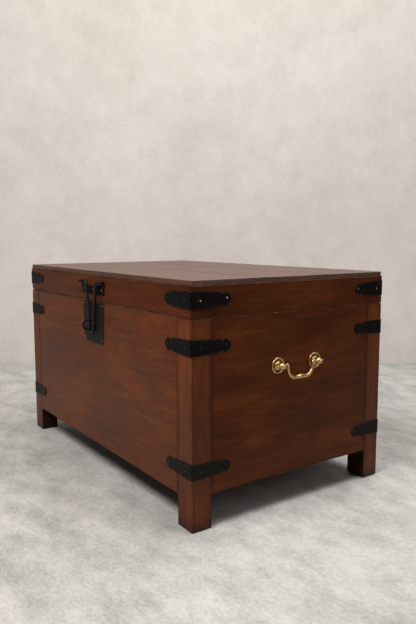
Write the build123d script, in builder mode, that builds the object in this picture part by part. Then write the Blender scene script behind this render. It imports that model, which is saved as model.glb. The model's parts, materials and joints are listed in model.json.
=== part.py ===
"""A wooden storage chest on post feet, with iron straps, a bar hasp and brass bail handles.

Millimetres. The origin is on the floor, under the middle of the carcass. +X runs along the
chest to its right end, +Z is up, and the front, with the hasp, faces -Y.
"""

import os
from math import asin, atan2, cos, hypot, sin

from build123d import *

# --- carcass and lid ---------------------------------------------------------------------
LENGTH = 784.0  # over the posts, along X
DEPTH = 489.0  # over the posts, along Y
HEIGHT = 450.0  # floor to the top of the lid
POST_WIDE = 46.0  # section of a corner post, along X
POST_DEEP = 42.0  # and along Y
FRONT_FOOT = 59.0  # floor to the lower edge of the front and back panels
END_FOOT = 64.0  # floor to the lower edge of the end panels, and to the cleats
CARCASS_TOP = 383.0
LID_GAP = 0.5  # between the closed lid and the carcass
WALL = 20.0  # thickness of the panels and of the lid rails
EASE = 1.5  # rounding of the worn arrises
TONGUE_WIDTH = 8.0
TONGUE_LENGTH = 10.0
TONGUE_END_GAP = 0.5  # between a tongue and the bottom of its groove
CLEAT = 18.0  # square section of the bottom cleats
BOTTOM_THICKNESS = 12.0
BOTTOM_BOARDS = 3
BOTTOM_GAP = 1.0
TOP_THICKNESS = 9.5
TOP_INSET = 1.5  # from the rails' outer faces to the edge of the top
TOP_ROUND = 2.5
TOP_BOARDS = 3

# --- iron straps, plates and nails -------------------------------------------------------
IRON = 1.8  # sheet thickness
STRAP_REACH = 86.0  # from the corner to a strap's tip
STRAP_ROOT = 15.0  # half height at the corner
STRAP_NECK = 10.0
STRAP_LOBE = 12.5
STRAP_LEVELS = {"lid": 415.5, "upper": 333.0, "lower": 112.0}
STRAP_NAILS = ((18.5, -1.0), (75.0, 1.5))  # along the wing from the corner, and up
NAIL_HEAD = 3.0  # radius
NAIL_DOME = 1.3  # height of the head, a cap of a sphere
NAIL_SHANK = 1.0  # radius
NAIL_LENGTH = 16.0  # of shank in the wood
NAIL_HOLE = 1.1  # radius of the hole in the iron

# --- hasp --------------------------------------------------------------------------------
HASP_AXIS_OUT = 5.5  # in front of the face
HASP_AXIS_Z = 424.6
HASP_BAR = 3.2  # radius
HASP_HALF_WIDTH = 25.5  # at the axis, between bar centres
HASP_BEND = 8.0  # radius of the bottom bend, at the bar's centre
HASP_BOTTOM = 315.0  # bar centre at the bottom bend
HASP_SHOULDER = 4.2  # bend radius where a leg turns into its pintle
KNUCKLE_START = 30.5
KNUCKLE_END = 60.0
KNUCKLE_OUTER = 4.7
PINTLE_CLEARANCE = 0.08
HASP_PLATE = (57.0, 397.6)  # half width, lower edge
STAPLE_PLATE = (52.5, 290.0, 382.5)  # half width at the top, lower edge, upper edge
STAPLE_BAR = 2.6
STAPLE_Z = 331.2
STAPLE_RADIUS = 10.0  # at the bar's centre
STAPLE_STRAIGHT = 16.0  # from the face to the start of the round
STAPLE_LEG = 18.0  # into the wood

# --- brass handles -----------------------------------------------------------------------
HANDLE_Z = 281.0
HANDLE_SPREAD = 48.0  # from the middle to each rosette's centre
BAIL_OUT = 12.0  # pivot axis, in front of the end face
BOLT = 2.5  # radius
BOLT_HOLE = 2.6
ROSETTE = 16.0
ROSETTE_BOSS = 5.0  # height of the rosette's middle
BALL = 7.0
BAIL_PIN = 2.0
BAIL_BORE = 2.08
BAIL_ROD = 2.6
BAIL_ARM = 33.8  # from the middle to an arm's centre
BAIL_DROP = 25.0  # from the axis to the grip's centre
BAIL_BEND = 12.0
PIN_END = 57.0
WASHER = 6.0
NUT_SIZE = 8.0

# --- back hinges -------------------------------------------------------------------------
HINGE_X = 230.0
HINGE_OUT = 4.7  # pin axis, behind the back face
HINGE_Z = CARCASS_TOP + LID_GAP / 2
HINGE_PIN = 2.5
HINGE_BORE = 2.56
HINGE_KNUCKLE = 4.5
HINGE_HALF = 22.0  # half width of a leaf at its knuckle
HINGE_MIDDLE = 7.5  # half width of the lid leaf's knuckle
HINGE_GAP = 0.2
BODY_LEAF = 78.0
LID_LEAF = 46.0

# --- worked out from the above -----------------------------------------------------------
HALF_X = LENGTH / 2
HALF_Y = DEPTH / 2
POST_X = HALF_X - POST_WIDE  # the posts' inner faces
POST_Y = HALF_Y - POST_DEEP
INNER_X = HALF_X - WALL  # the panels' inner faces
INNER_Y = HALF_Y - WALL
LID_BOTTOM = CARCASS_TOP + LID_GAP
RAIL_TOP = HEIGHT - TOP_THICKNESS
ENDS = {"right": 1, "left": -1}
SIDES = {"front": -1, "back": 1}

os.makedirs("parts", exist_ok=True)


def keep(part, name):
    """Label a finished piece and write it to its own file."""
    part.label = name
    export_step(part, f"parts/{name}.step")


def face_plane(side_x, side_y, along, height):
    """A plane on an outer face, its Z pointing out of the chest and its X away from a corner."""
    if along == "x":
        return Plane(
            origin=(side_x * HALF_X, side_y * HALF_Y, height),
            x_dir=(-side_x, 0, 0),
            z_dir=(0, side_y, 0),
        )
    return Plane(
        origin=(side_x * HALF_X, side_y * HALF_Y, height),
        x_dir=(0, -side_y, 0),
        z_dir=(side_x, 0, 0),
    )


def spade(start, reach, root, neck, lobe):
    """A tapering wing with a shoulder, a notch and a spade-shaped end, along +X."""
    with BuildSketch() as outline:
        with BuildLine():
            Polyline((start, root), (0.4 * reach, root - 1.0), (0.69 * reach, neck + 2.0))
            ThreePointArc((0.69 * reach, neck + 2.0), (0.745 * reach, neck), (0.8 * reach, lobe))
            ThreePointArc((0.8 * reach, lobe), (0.93 * reach, 0.68 * lobe), (reach, 0))
            mirror(about=Plane.XZ)
            Line((start, root), (start, -root))
        make_face()
    return outline.sketch


def nails(plane_points):
    """Domed nails, each driven square to its plane through the iron at a point of it."""
    sphere = (NAIL_HEAD**2 + NAIL_DOME**2) / (2 * NAIL_DOME)
    half_turn = asin(NAIL_HEAD / sphere) / 2
    on_dome = (sphere * sin(half_turn), NAIL_DOME - sphere * (1 - cos(half_turn)))
    with BuildPart() as nail:
        with BuildSketch(Plane.XZ):
            with BuildLine():
                Polyline(
                    (0, NAIL_DOME),
                    (0, -IRON - NAIL_LENGTH),
                    (NAIL_SHANK, 3 * NAIL_SHANK - IRON - NAIL_LENGTH),
                    (NAIL_SHANK, 0),
                    (NAIL_HEAD, 0),
                )
                ThreePointArc((NAIL_HEAD, 0), on_dome, (0, NAIL_DOME))
            make_face()
        revolve(axis=Axis.Z)
    with BuildPart() as group:
        for plane, points in plane_points:
            with Locations(*[plane.location * Location((*point, IRON)) for point in points]):
                add(nail.part)
    return group.part


# --- carcass: posts, panels, cleats and bottom -------------------------------------------

for end, sx in ENDS.items():
    for side, sy in SIDES.items():
        with BuildPart() as post:
            with BuildSketch(Plane.XY):
                with Locations((sx * (HALF_X - POST_WIDE / 2), sy * (HALF_Y - POST_DEEP / 2))):
                    Rectangle(POST_WIDE, POST_DEEP)
            extrude(amount=CARCASS_TOP)
            uprights = post.edges().filter_by(Axis.Z)
            outer = uprights.sort_by_distance((sx * LENGTH, sy * DEPTH, CARCASS_TOP / 2))[0]
            fillet(outer, radius=EASE)
            chamfer(post.faces().sort_by(Axis.Z)[0].edges(), length=EASE)
            with BuildSketch(Plane.XY.offset(FRONT_FOOT)):
                with Locations((sx * (POST_X + TONGUE_LENGTH / 2), sy * (HALF_Y - WALL / 2))):
                    Rectangle(TONGUE_LENGTH, TONGUE_WIDTH)
            extrude(amount=CARCASS_TOP - FRONT_FOOT, mode=Mode.SUBTRACT)
            with BuildSketch(Plane.XY.offset(END_FOOT)):
                with Locations((sx * (HALF_X - WALL / 2), sy * (POST_Y + TONGUE_LENGTH / 2))):
                    Rectangle(TONGUE_WIDTH, TONGUE_LENGTH)
            extrude(amount=CARCASS_TOP - END_FOOT, mode=Mode.SUBTRACT)
        keep(post.part, f"{side}_{end}_post")

tongue = 2 * (TONGUE_LENGTH - TONGUE_END_GAP)

for side, sy in SIDES.items():
    with BuildPart() as panel:
        with BuildSketch(Plane.XY.offset(FRONT_FOOT)):
            with Locations((0, sy * (HALF_Y - WALL / 2))):
                Rectangle(2 * POST_X, WALL)
                Rectangle(2 * POST_X + tongue, TONGUE_WIDTH)
        extrude(amount=CARCASS_TOP - FRONT_FOOT)
    keep(panel.part, f"{side}_panel")

for end, sx in ENDS.items():
    with BuildPart() as panel:
        with BuildSketch(Plane.XY.offset(END_FOOT)):
            with Locations((sx * (HALF_X - WALL / 2), 0)):
                Rectangle(WALL, 2 * POST_Y)
                Rectangle(TONGUE_WIDTH, 2 * POST_Y + tongue)
        extrude(amount=CARCASS_TOP - END_FOOT)
        with BuildSketch(Plane.YZ.offset(sx * HALF_X)):
            with Locations((-HANDLE_SPREAD, HANDLE_Z), (HANDLE_SPREAD, HANDLE_Z)):
                Circle(BOLT_HOLE)
        extrude(amount=-sx * WALL, mode=Mode.SUBTRACT)
    keep(panel.part, f"{end}_end_panel")

for side, sy in SIDES.items():
    with BuildPart() as cleat:
        with BuildSketch(Plane.XY.offset(END_FOOT)):
            with Locations((0, sy * (INNER_Y - CLEAT / 2))):
                Rectangle(2 * POST_X, CLEAT)
        extrude(amount=CLEAT)
    keep(cleat.part, f"{side}_cleat")

for end, sx in ENDS.items():
    with BuildPart() as cleat:
        with BuildSketch(Plane.XY.offset(END_FOOT)):
            with Locations((sx * (INNER_X - CLEAT / 2), 0)):
                Rectangle(CLEAT, 2 * POST_Y)
        extrude(amount=CLEAT)
    keep(cleat.part, f"{end}_end_cleat")

bottom_level = END_FOOT + CLEAT
bottom_width = (2 * INNER_Y - (BOTTOM_BOARDS + 1) * BOTTOM_GAP) / BOTTOM_BOARDS
for index, name in enumerate(("front", "middle", "back")):
    centre = (index - 1) * (bottom_width + BOTTOM_GAP)
    with BuildPart() as board:
        with BuildSketch(Plane.XY.offset(bottom_level)):
            with Locations((0, centre)):
                Rectangle(2 * (INNER_X - BOTTOM_GAP), bottom_width)
            with GridLocations(2 * HALF_X - POST_WIDE, 2 * HALF_Y - POST_DEEP, 2, 2):
                Rectangle(
                    POST_WIDE + 2 * BOTTOM_GAP, POST_DEEP + 2 * BOTTOM_GAP, mode=Mode.SUBTRACT
                )
        extrude(amount=BOTTOM_THICKNESS)
    keep(board.part, f"{name}_bottom_board")

# --- lid: mitred rails and a top of edge-glued boards ------------------------------------


def rail_outline(half_run, half_across, side):
    """Half the plan of a mitred rail, its outer tip cut back so that the corner is eased."""
    tip = half_across - EASE / 2
    return [
        (0, side * half_across),
        (half_run - EASE, side * half_across),
        (half_run - EASE / 2, side * tip),
        (half_run - WALL, side * (half_across - WALL)),
        (0, side * (half_across - WALL)),
    ]


for side, sy in SIDES.items():
    with BuildPart() as rail:
        with BuildSketch(Plane.XY.offset(LID_BOTTOM)):
            with BuildLine():
                Polyline(*rail_outline(HALF_X, HALF_Y, sy))
                mirror(about=Plane.YZ)
            make_face()
        extrude(amount=RAIL_TOP - LID_BOTTOM)
    keep(rail.part, f"{side}_lid_rail")

for end, sx in ENDS.items():
    with BuildPart() as rail:
        with BuildSketch(Plane.XY.offset(LID_BOTTOM)):
            with BuildLine():
                Polyline(*[(y, x) for x, y in rail_outline(HALF_Y, HALF_X, sx)])
                mirror(about=Plane.XZ)
            make_face()
        extrude(amount=RAIL_TOP - LID_BOTTOM)
    keep(rail.part, f"{end}_lid_rail")

top_width = 2 * (HALF_Y - TOP_INSET) / TOP_BOARDS
for index, name in enumerate(("front", "middle", "back")):
    with BuildPart() as board:
        with BuildSketch(Plane.XY.offset(RAIL_TOP)):
            with Locations((0, (index - 1) * top_width)):
                Rectangle(2 * (HALF_X - TOP_INSET), top_width)
        extrude(amount=TOP_THICKNESS)
        rim = board.faces().sort_by(Axis.Z)[-1].edges()
        ends = rim.filter_by(Axis.Y)
        long_edges = rim.filter_by(Axis.X).sort_by(Axis.Y)
        free = {"front": long_edges[:1], "middle": long_edges[:0], "back": long_edges[1:]}
        fillet(ends + free[name], radius=TOP_ROUND)
    keep(board.part, f"{name}_lid_board")

# --- corner straps -----------------------------------------------------------------------

body_nails = []
lid_nails = []
for level, height in STRAP_LEVELS.items():
    for end, sx in ENDS.items():
        for side, sy in SIDES.items():
            wings = [face_plane(sx, sy, along, height) for along in ("x", "y")]
            with BuildPart() as strap:
                for wing in wings:
                    with BuildSketch(wing):
                        add(spade(-IRON, STRAP_REACH, STRAP_ROOT, STRAP_NECK, STRAP_LOBE))
                        up = wing.y_dir.Z
                        with Locations(*[(u, up * v) for u, v in STRAP_NAILS]):
                            Circle(NAIL_HOLE, mode=Mode.SUBTRACT)
                    extrude(amount=IRON)
                uprights = strap.edges().filter_by(Axis.Z)
                bend = uprights.sort_by_distance((sx * LENGTH, sy * DEPTH, height))[0]
                fillet(bend, radius=EASE)
            keep(strap.part, f"{side}_{end}_{level}_strap")
            driven = lid_nails if level == "lid" else body_nails
            for wing in wings:
                driven.append((wing, [(u, wing.y_dir.Z * v) for u, v in STRAP_NAILS]))

# --- hasp plate, hasp, staple plate and staple on the front ------------------------------

front_face = Plane(origin=(0, -HALF_Y, 0), x_dir=(1, 0, 0), z_dir=(0, -1, 0))
pintle_bore = HASP_BAR + PINTLE_CLEARANCE

hasp_nails = [(-46.0, 409.6), (0.0, 409.0), (46.0, 409.6)]
plate_half, plate_low = HASP_PLATE
with BuildPart() as hasp_plate:
    with BuildSketch(front_face):
        with BuildLine():
            Polyline(
                (0, plate_low),
                (plate_half - 2, plate_low),
                (plate_half, plate_low + 4),
                (KNUCKLE_END, HASP_AXIS_Z),
                (KNUCKLE_START, HASP_AXIS_Z),
                (KNUCKLE_START - 2, HASP_AXIS_Z - 4),
            )
            ThreePointArc(
                (KNUCKLE_START - 2, HASP_AXIS_Z - 4),
                (0.6 * KNUCKLE_START, HASP_AXIS_Z - 6),
                (0, HASP_AXIS_Z - 7),
            )
            mirror(about=Plane.YZ)
        make_face()
        with Locations(*hasp_nails):
            Circle(NAIL_HOLE, mode=Mode.SUBTRACT)
    extrude(amount=IRON)
    for sx in (-1, 1):
        with BuildSketch(Plane.YZ.offset(sx * KNUCKLE_START)):
            with Locations((-HALF_Y - HASP_AXIS_OUT, HASP_AXIS_Z)):
                Circle(KNUCKLE_OUTER)
        extrude(amount=sx * (KNUCKLE_END - KNUCKLE_START))
    with BuildSketch(Plane.YZ):
        with Locations((-HALF_Y - HASP_AXIS_OUT, HASP_AXIS_Z)):
            Circle(pintle_bore)
    extrude(amount=KNUCKLE_END, both=True, mode=Mode.SUBTRACT)
keep(hasp_plate.part, "hasp_plate")
lid_nails.append((front_face, hasp_nails))

# A leg runs from its shoulder straight to where it meets the bottom bend.
bend_centre = HASP_BOTTOM + HASP_BEND
rise = HASP_AXIS_Z - bend_centre
spread = hypot(HASP_HALF_WIDTH, rise)
lean = atan2(HASP_HALF_WIDTH, rise)
touch = lean + atan2((spread**2 - HASP_BEND**2) ** 0.5, HASP_BEND)
leg_end = (HASP_BEND * sin(touch), bend_centre + HASP_BEND * cos(touch))
hasp_plane = Plane(origin=(0, -HALF_Y - HASP_AXIS_OUT, 0), x_dir=(1, 0, 0), z_dir=(0, -1, 0))
with BuildPart() as hasp:
    with BuildLine(hasp_plane) as loop:
        right_leg = FilletPolyline(
            (KNUCKLE_END - 2, HASP_AXIS_Z),
            (HASP_HALF_WIDTH, HASP_AXIS_Z),
            leg_end,
            radius=HASP_SHOULDER,
        )
        ThreePointArc(leg_end, (0, HASP_BOTTOM), (-leg_end[0], leg_end[1]))
        left_leg = FilletPolyline(
            (-leg_end[0], leg_end[1]),
            (-HASP_HALF_WIDTH, HASP_AXIS_Z),
            (2 - KNUCKLE_END, HASP_AXIS_Z),
            radius=HASP_SHOULDER,
        )
    with BuildSketch(Plane(origin=loop.line @ 0, z_dir=loop.line % 0)):
        Circle(HASP_BAR)
    sweep(path=loop.line)
keep(hasp.part, "hasp")

plate_half, plate_low, plate_top = STAPLE_PLATE
staple_nails = [(-47.0, 376.0), (47.0, 376.0), (-40.0, 301.0), (40.0, 299.0)]
with BuildPart() as staple_plate:
    with BuildSketch(front_face):
        with BuildLine():
            Polyline(
                (-plate_half, plate_top),
                (7 - plate_half, plate_low + 8),
                (16 - plate_half, plate_low),
                (plate_half - 5, plate_low),
                (plate_half, plate_top),
                close=True,
            )
        make_face()
        with Locations(*staple_nails):
            Circle(NAIL_HOLE, mode=Mode.SUBTRACT)
        with Locations((0, STAPLE_Z - STAPLE_RADIUS), (0, STAPLE_Z + STAPLE_RADIUS)):
            Circle(STAPLE_BAR, mode=Mode.SUBTRACT)
    extrude(amount=IRON)
keep(staple_plate.part, "staple_plate")
body_nails.append((front_face, staple_nails))

round_start = -HALF_Y - STAPLE_STRAIGHT
with BuildPart() as staple:
    with BuildLine(Plane.YZ) as ring:
        Line((STAPLE_LEG - HALF_Y, STAPLE_Z + STAPLE_RADIUS), (round_start, STAPLE_Z + STAPLE_RADIUS))
        ThreePointArc(
            (round_start, STAPLE_Z + STAPLE_RADIUS),
            (round_start - STAPLE_RADIUS, STAPLE_Z),
            (round_start, STAPLE_Z - STAPLE_RADIUS),
        )
        Line((round_start, STAPLE_Z - STAPLE_RADIUS), (STAPLE_LEG - HALF_Y, STAPLE_Z - STAPLE_RADIUS))
    with BuildSketch(Plane(origin=ring.line @ 0, z_dir=ring.line % 0)):
        Circle(STAPLE_BAR)
    sweep(path=ring.line)
keep(staple.part, "staple")

# --- brass bail handles on both ends -----------------------------------------------------


def turned(plane, steps, arc=None):
    """A turned piece: its half profile (distance out, radius) spun about the plane's X axis."""
    with BuildPart() as piece:
        with BuildSketch(plane):
            with BuildLine():
                Polyline(*steps, close=True)
            make_face()
            if arc:
                with Locations((arc[0], 0)):
                    Circle(arc[1])
                with Locations((arc[0], -arc[1])):
                    Rectangle(2 * arc[1], 2 * arc[1], mode=Mode.SUBTRACT)
        revolve(axis=Axis(plane.origin, plane.x_dir))
    return piece.part


rosette_steps = [
    (0, BOLT_HOLE),
    (0, ROSETTE),
    (1.6, ROSETTE),
    (3.0, ROSETTE - 1.2),
    (1.9, ROSETTE - 3.2),
    (1.9, ROSETTE - 5.0),
    (3.4, ROSETTE - 7.0),
    (ROSETTE_BOSS, ROSETTE - 8.5),
    (ROSETTE_BOSS, BOLT_HOLE),
]
post_steps = [
    (-WALL - 9, 0),
    (-WALL - 9, BOLT),
    (ROSETTE_BOSS, BOLT),
    (ROSETTE_BOSS, 4.5),
    (ROSETTE_BOSS + 1.2, 5.0),
    (BAIL_OUT, 4.0),
    (BAIL_OUT + BALL - 1.0, 3.0),
    (BAIL_OUT + BALL + 0.6, 4.0),
    (BAIL_OUT + BALL + 2.2, 2.6),
    (BAIL_OUT + BALL + 2.6, 0),
]

for end, sx in ENDS.items():
    for side, sy in SIDES.items():
        foot = Plane((sx * HALF_X, sy * HANDLE_SPREAD, HANDLE_Z), (sx, 0, 0), (0, -sx, 0))
        keep(turned(foot, rosette_steps), f"{side}_{end}_rosette")
        with BuildPart() as handle_post:
            add(turned(foot, post_steps, arc=(BAIL_OUT, BALL)))
            with BuildSketch(Plane.XZ):
                with Locations((sx * (HALF_X + BAIL_OUT), HANDLE_Z)):
                    Circle(BAIL_BORE)
            extrude(amount=HANDLE_SPREAD + 2 * BALL, both=True, mode=Mode.SUBTRACT)
        keep(handle_post.part, f"{side}_{end}_handle_post")

    bail_plane = Plane(
        origin=(sx * (HALF_X + BAIL_OUT), 0, HANDLE_Z),
        x_dir=(0, 1, 0),
        z_dir=(1, 0, 0),
    )
    with BuildPart() as bail:
        with BuildLine(bail_plane) as grip:
            FilletPolyline(
                (-BAIL_ARM, 0),
                (-BAIL_ARM, -10),
                (3 - BAIL_ARM, -BAIL_DROP),
                (BAIL_ARM - 3, -BAIL_DROP),
                (BAIL_ARM, -10),
                (BAIL_ARM, 0),
                radius=[6, BAIL_BEND, BAIL_BEND, 6],
            )
        with BuildSketch(Plane(origin=grip.line @ 0, z_dir=grip.line % 0)):
            Circle(BAIL_ROD)
        sweep(path=grip.line)
        for sy in (-1, 1):
            with BuildSketch(Plane.XZ.offset(-sy * BAIL_ARM)):
                with Locations((sx * (HALF_X + BAIL_OUT), HANDLE_Z)):
                    Circle(BAIL_PIN)
            extrude(amount=-sy * (PIN_END - BAIL_ARM))
            with Locations((sx * (HALF_X + BAIL_OUT), sy * PIN_END, HANDLE_Z)):
                Sphere(BAIL_PIN + 0.8)
            with Locations((sx * (HALF_X + BAIL_OUT), sy * BAIL_ARM, HANDLE_Z)):
                Sphere(BAIL_ROD + 0.8)
        with BuildSketch(Plane(bail_plane.from_local_coords((0, -BAIL_DROP, 0)), (0, 1, 0), (1, 0, 0))):
            with BuildLine():
                Polyline((10, 0), (10, 3.0), (4, 3.4), (2.6, 4.2), (0, 5.2))
                mirror(about=Plane.YZ)
                Line((-10, 0), (10, 0))
            make_face()
        grip_middle = bail_plane.from_local_coords((0, -BAIL_DROP, 0))
        revolve(axis=Axis(grip_middle, (0, 1, 0)))
    keep(bail.part, f"{end}_bail")

with BuildPart() as washers:
    for sx in ENDS.values():
        with BuildSketch(Plane.YZ.offset(sx * INNER_X)):
            with Locations((-HANDLE_SPREAD, HANDLE_Z), (HANDLE_SPREAD, HANDLE_Z)):
                Circle(WASHER)
                Circle(BOLT_HOLE, mode=Mode.SUBTRACT)
        extrude(amount=-sx * 1.2)
keep(washers.part, "handle_washers")

with BuildPart() as nuts:
    for sx in ENDS.values():
        with BuildSketch(Plane.YZ.offset(sx * (INNER_X - 1.2))):
            with Locations((-HANDLE_SPREAD, HANDLE_Z), (HANDLE_SPREAD, HANDLE_Z)):
                RegularPolygon(NUT_SIZE / 2, 6, major_radius=False)
                Circle(BOLT, mode=Mode.SUBTRACT)
        extrude(amount=-sx * 4)
keep(nuts.part, "handle_nuts")

# --- back hinges -------------------------------------------------------------------------

back_face = Plane(origin=(0, HALF_Y, 0), x_dir=(-1, 0, 0), z_dir=(0, 1, 0))
knuckle_spot = (HALF_Y + HINGE_OUT, HINGE_Z)

for end, sx in ENDS.items():
    centre = sx * HINGE_X
    leaf_down = Plane((centre, HALF_Y, HINGE_Z), (0, 0, -1), (0, 1, 0))
    leaf_up = Plane((centre, HALF_Y, HINGE_Z), (0, 0, 1), (0, 1, 0))
    leaves = (
        ("body", leaf_down, BODY_LEAF, [(14, 14), (14, -14), (62, 0)]),
        ("lid", leaf_up, LID_LEAF, [(14, 14), (14, -14), (38, 0)]),
    )
    for owner, plane, reach, points in leaves:
        with BuildPart() as leaf:
            with BuildSketch(plane):
                add(spade(1.5, reach, HINGE_HALF, 12.0, 14.5))
                with Locations(*points):
                    Circle(NAIL_HOLE, mode=Mode.SUBTRACT)
            extrude(amount=IRON)
            with BuildSketch(Plane.YZ.offset(centre)):
                with Locations(knuckle_spot):
                    Circle(HINGE_KNUCKLE)
                with Locations((HALF_Y + IRON / 2, HINGE_Z + plane.x_dir.Z)):
                    Rectangle(IRON, 2)
            extrude(amount=HINGE_HALF, both=True)
            spans = {
                "body": [(0, HINGE_MIDDLE + HINGE_GAP)],
                "lid": [(sx_gap * (HINGE_HALF + HINGE_MIDDLE) / 2, (HINGE_HALF - HINGE_MIDDLE) / 2)
                        for sx_gap in (-1, 1)],
            }
            for middle, half in spans[owner]:
                with BuildSketch(Plane.YZ.offset(centre + middle)):
                    with Locations((HALF_Y + HINGE_OUT, HINGE_Z)):
                        Circle(HINGE_KNUCKLE + 1)
                extrude(amount=half, both=True, mode=Mode.SUBTRACT)
            with BuildSketch(Plane.YZ.offset(centre)):
                with Locations(knuckle_spot):
                    Circle(HINGE_BORE)
            extrude(amount=HINGE_HALF, both=True, mode=Mode.SUBTRACT)
        keep(leaf.part, f"{end}_hinge_{owner}_leaf")
        driven = lid_nails if owner == "lid" else body_nails
        driven.append((plane, points))

    with BuildPart() as pin:
        with BuildSketch(Plane.YZ.offset(centre)):
            with Locations(knuckle_spot):
                Circle(HINGE_PIN)
        extrude(amount=HINGE_HALF + 1, both=True)
        for sx_end in (-1, 1):
            with BuildSketch(Plane.YZ.offset(centre + sx_end * (HINGE_HALF + HINGE_GAP))):
                with Locations(knuckle_spot):
                    Circle(HINGE_PIN + 1)
            extrude(amount=sx_end * 1.5)
    keep(pin.part, f"{end}_hinge_pin")

# --- nails -------------------------------------------------------------------------------

keep(nails(body_nails), "body_nails")
keep(nails(lid_nails), "lid_nails")
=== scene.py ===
"""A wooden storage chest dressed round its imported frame.

The carcass and lid are hand-worked stained hardwood boards, the straps, plates, hinges, hasp and
staple are black forged iron, and the bail handles are aged turned brass. Everything is in metres
in the frame's own axes: +X to the right end, the front with the hasp faces -Y, +Z is up.
"""

import json
import logging
import math
from dataclasses import dataclass, field
from enum import Enum
from typing import Callable, Iterable, Sequence

import bpy
import numpy as np
from mathutils import Euler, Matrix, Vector


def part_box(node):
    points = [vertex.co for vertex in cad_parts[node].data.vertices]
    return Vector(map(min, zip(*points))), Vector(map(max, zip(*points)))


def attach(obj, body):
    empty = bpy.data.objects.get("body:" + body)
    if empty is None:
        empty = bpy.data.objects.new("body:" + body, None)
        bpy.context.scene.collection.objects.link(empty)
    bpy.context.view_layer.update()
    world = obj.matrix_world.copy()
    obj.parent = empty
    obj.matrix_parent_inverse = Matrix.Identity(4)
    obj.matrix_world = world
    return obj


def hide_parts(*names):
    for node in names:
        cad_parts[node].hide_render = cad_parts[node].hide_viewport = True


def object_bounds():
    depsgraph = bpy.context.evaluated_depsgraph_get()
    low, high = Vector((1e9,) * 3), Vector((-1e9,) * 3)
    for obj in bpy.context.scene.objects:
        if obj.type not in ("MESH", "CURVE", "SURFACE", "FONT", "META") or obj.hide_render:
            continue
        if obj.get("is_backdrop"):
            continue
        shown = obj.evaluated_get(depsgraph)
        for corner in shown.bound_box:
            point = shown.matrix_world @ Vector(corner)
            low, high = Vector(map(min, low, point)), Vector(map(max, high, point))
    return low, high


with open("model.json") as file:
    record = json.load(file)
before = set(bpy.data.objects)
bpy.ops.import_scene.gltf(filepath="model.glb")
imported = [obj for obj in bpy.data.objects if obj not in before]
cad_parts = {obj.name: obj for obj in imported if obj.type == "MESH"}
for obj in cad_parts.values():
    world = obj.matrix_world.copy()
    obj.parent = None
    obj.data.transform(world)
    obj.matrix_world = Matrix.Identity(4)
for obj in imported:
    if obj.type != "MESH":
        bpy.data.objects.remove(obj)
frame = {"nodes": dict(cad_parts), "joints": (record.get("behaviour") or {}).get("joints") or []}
CAD_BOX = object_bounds()

MM = 0.001
LOG = logging.getLogger("chest")
SIDES = {"front": -1, "back": 1}
ENDS = {"left": -1, "right": 1}


# ---------------------------------------------------------------------------------------------
# Names
# ---------------------------------------------------------------------------------------------


class Body(Enum):
    """The rigid bodies of the frame."""

    CARCASS = "chest_body"
    LID = "lid"
    HASP = "hasp"
    RIGHT_BAIL = "right_bail"
    LEFT_BAIL = "left_bail"


class Grain(Enum):
    """Which way a board's grain runs, as the turn that lays it along X."""

    ALONG_X = (0.0, 0.0, 0.0)
    ALONG_Y = (0.0, 0.0, math.radians(-90))
    ALONG_Z = (0.0, math.radians(90), 0.0)


class Slot(Enum):
    """The record's material slots."""

    WOOD = "stained_wood"
    TOP = "lid_top_wood"
    INNER = "inner_wood"
    IRON = "black_iron"
    NAIL = "nail_iron"
    BRASS = "antique_brass"
    STEEL = "plain_steel"


# ---------------------------------------------------------------------------------------------
# Node wiring
# ---------------------------------------------------------------------------------------------


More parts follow.
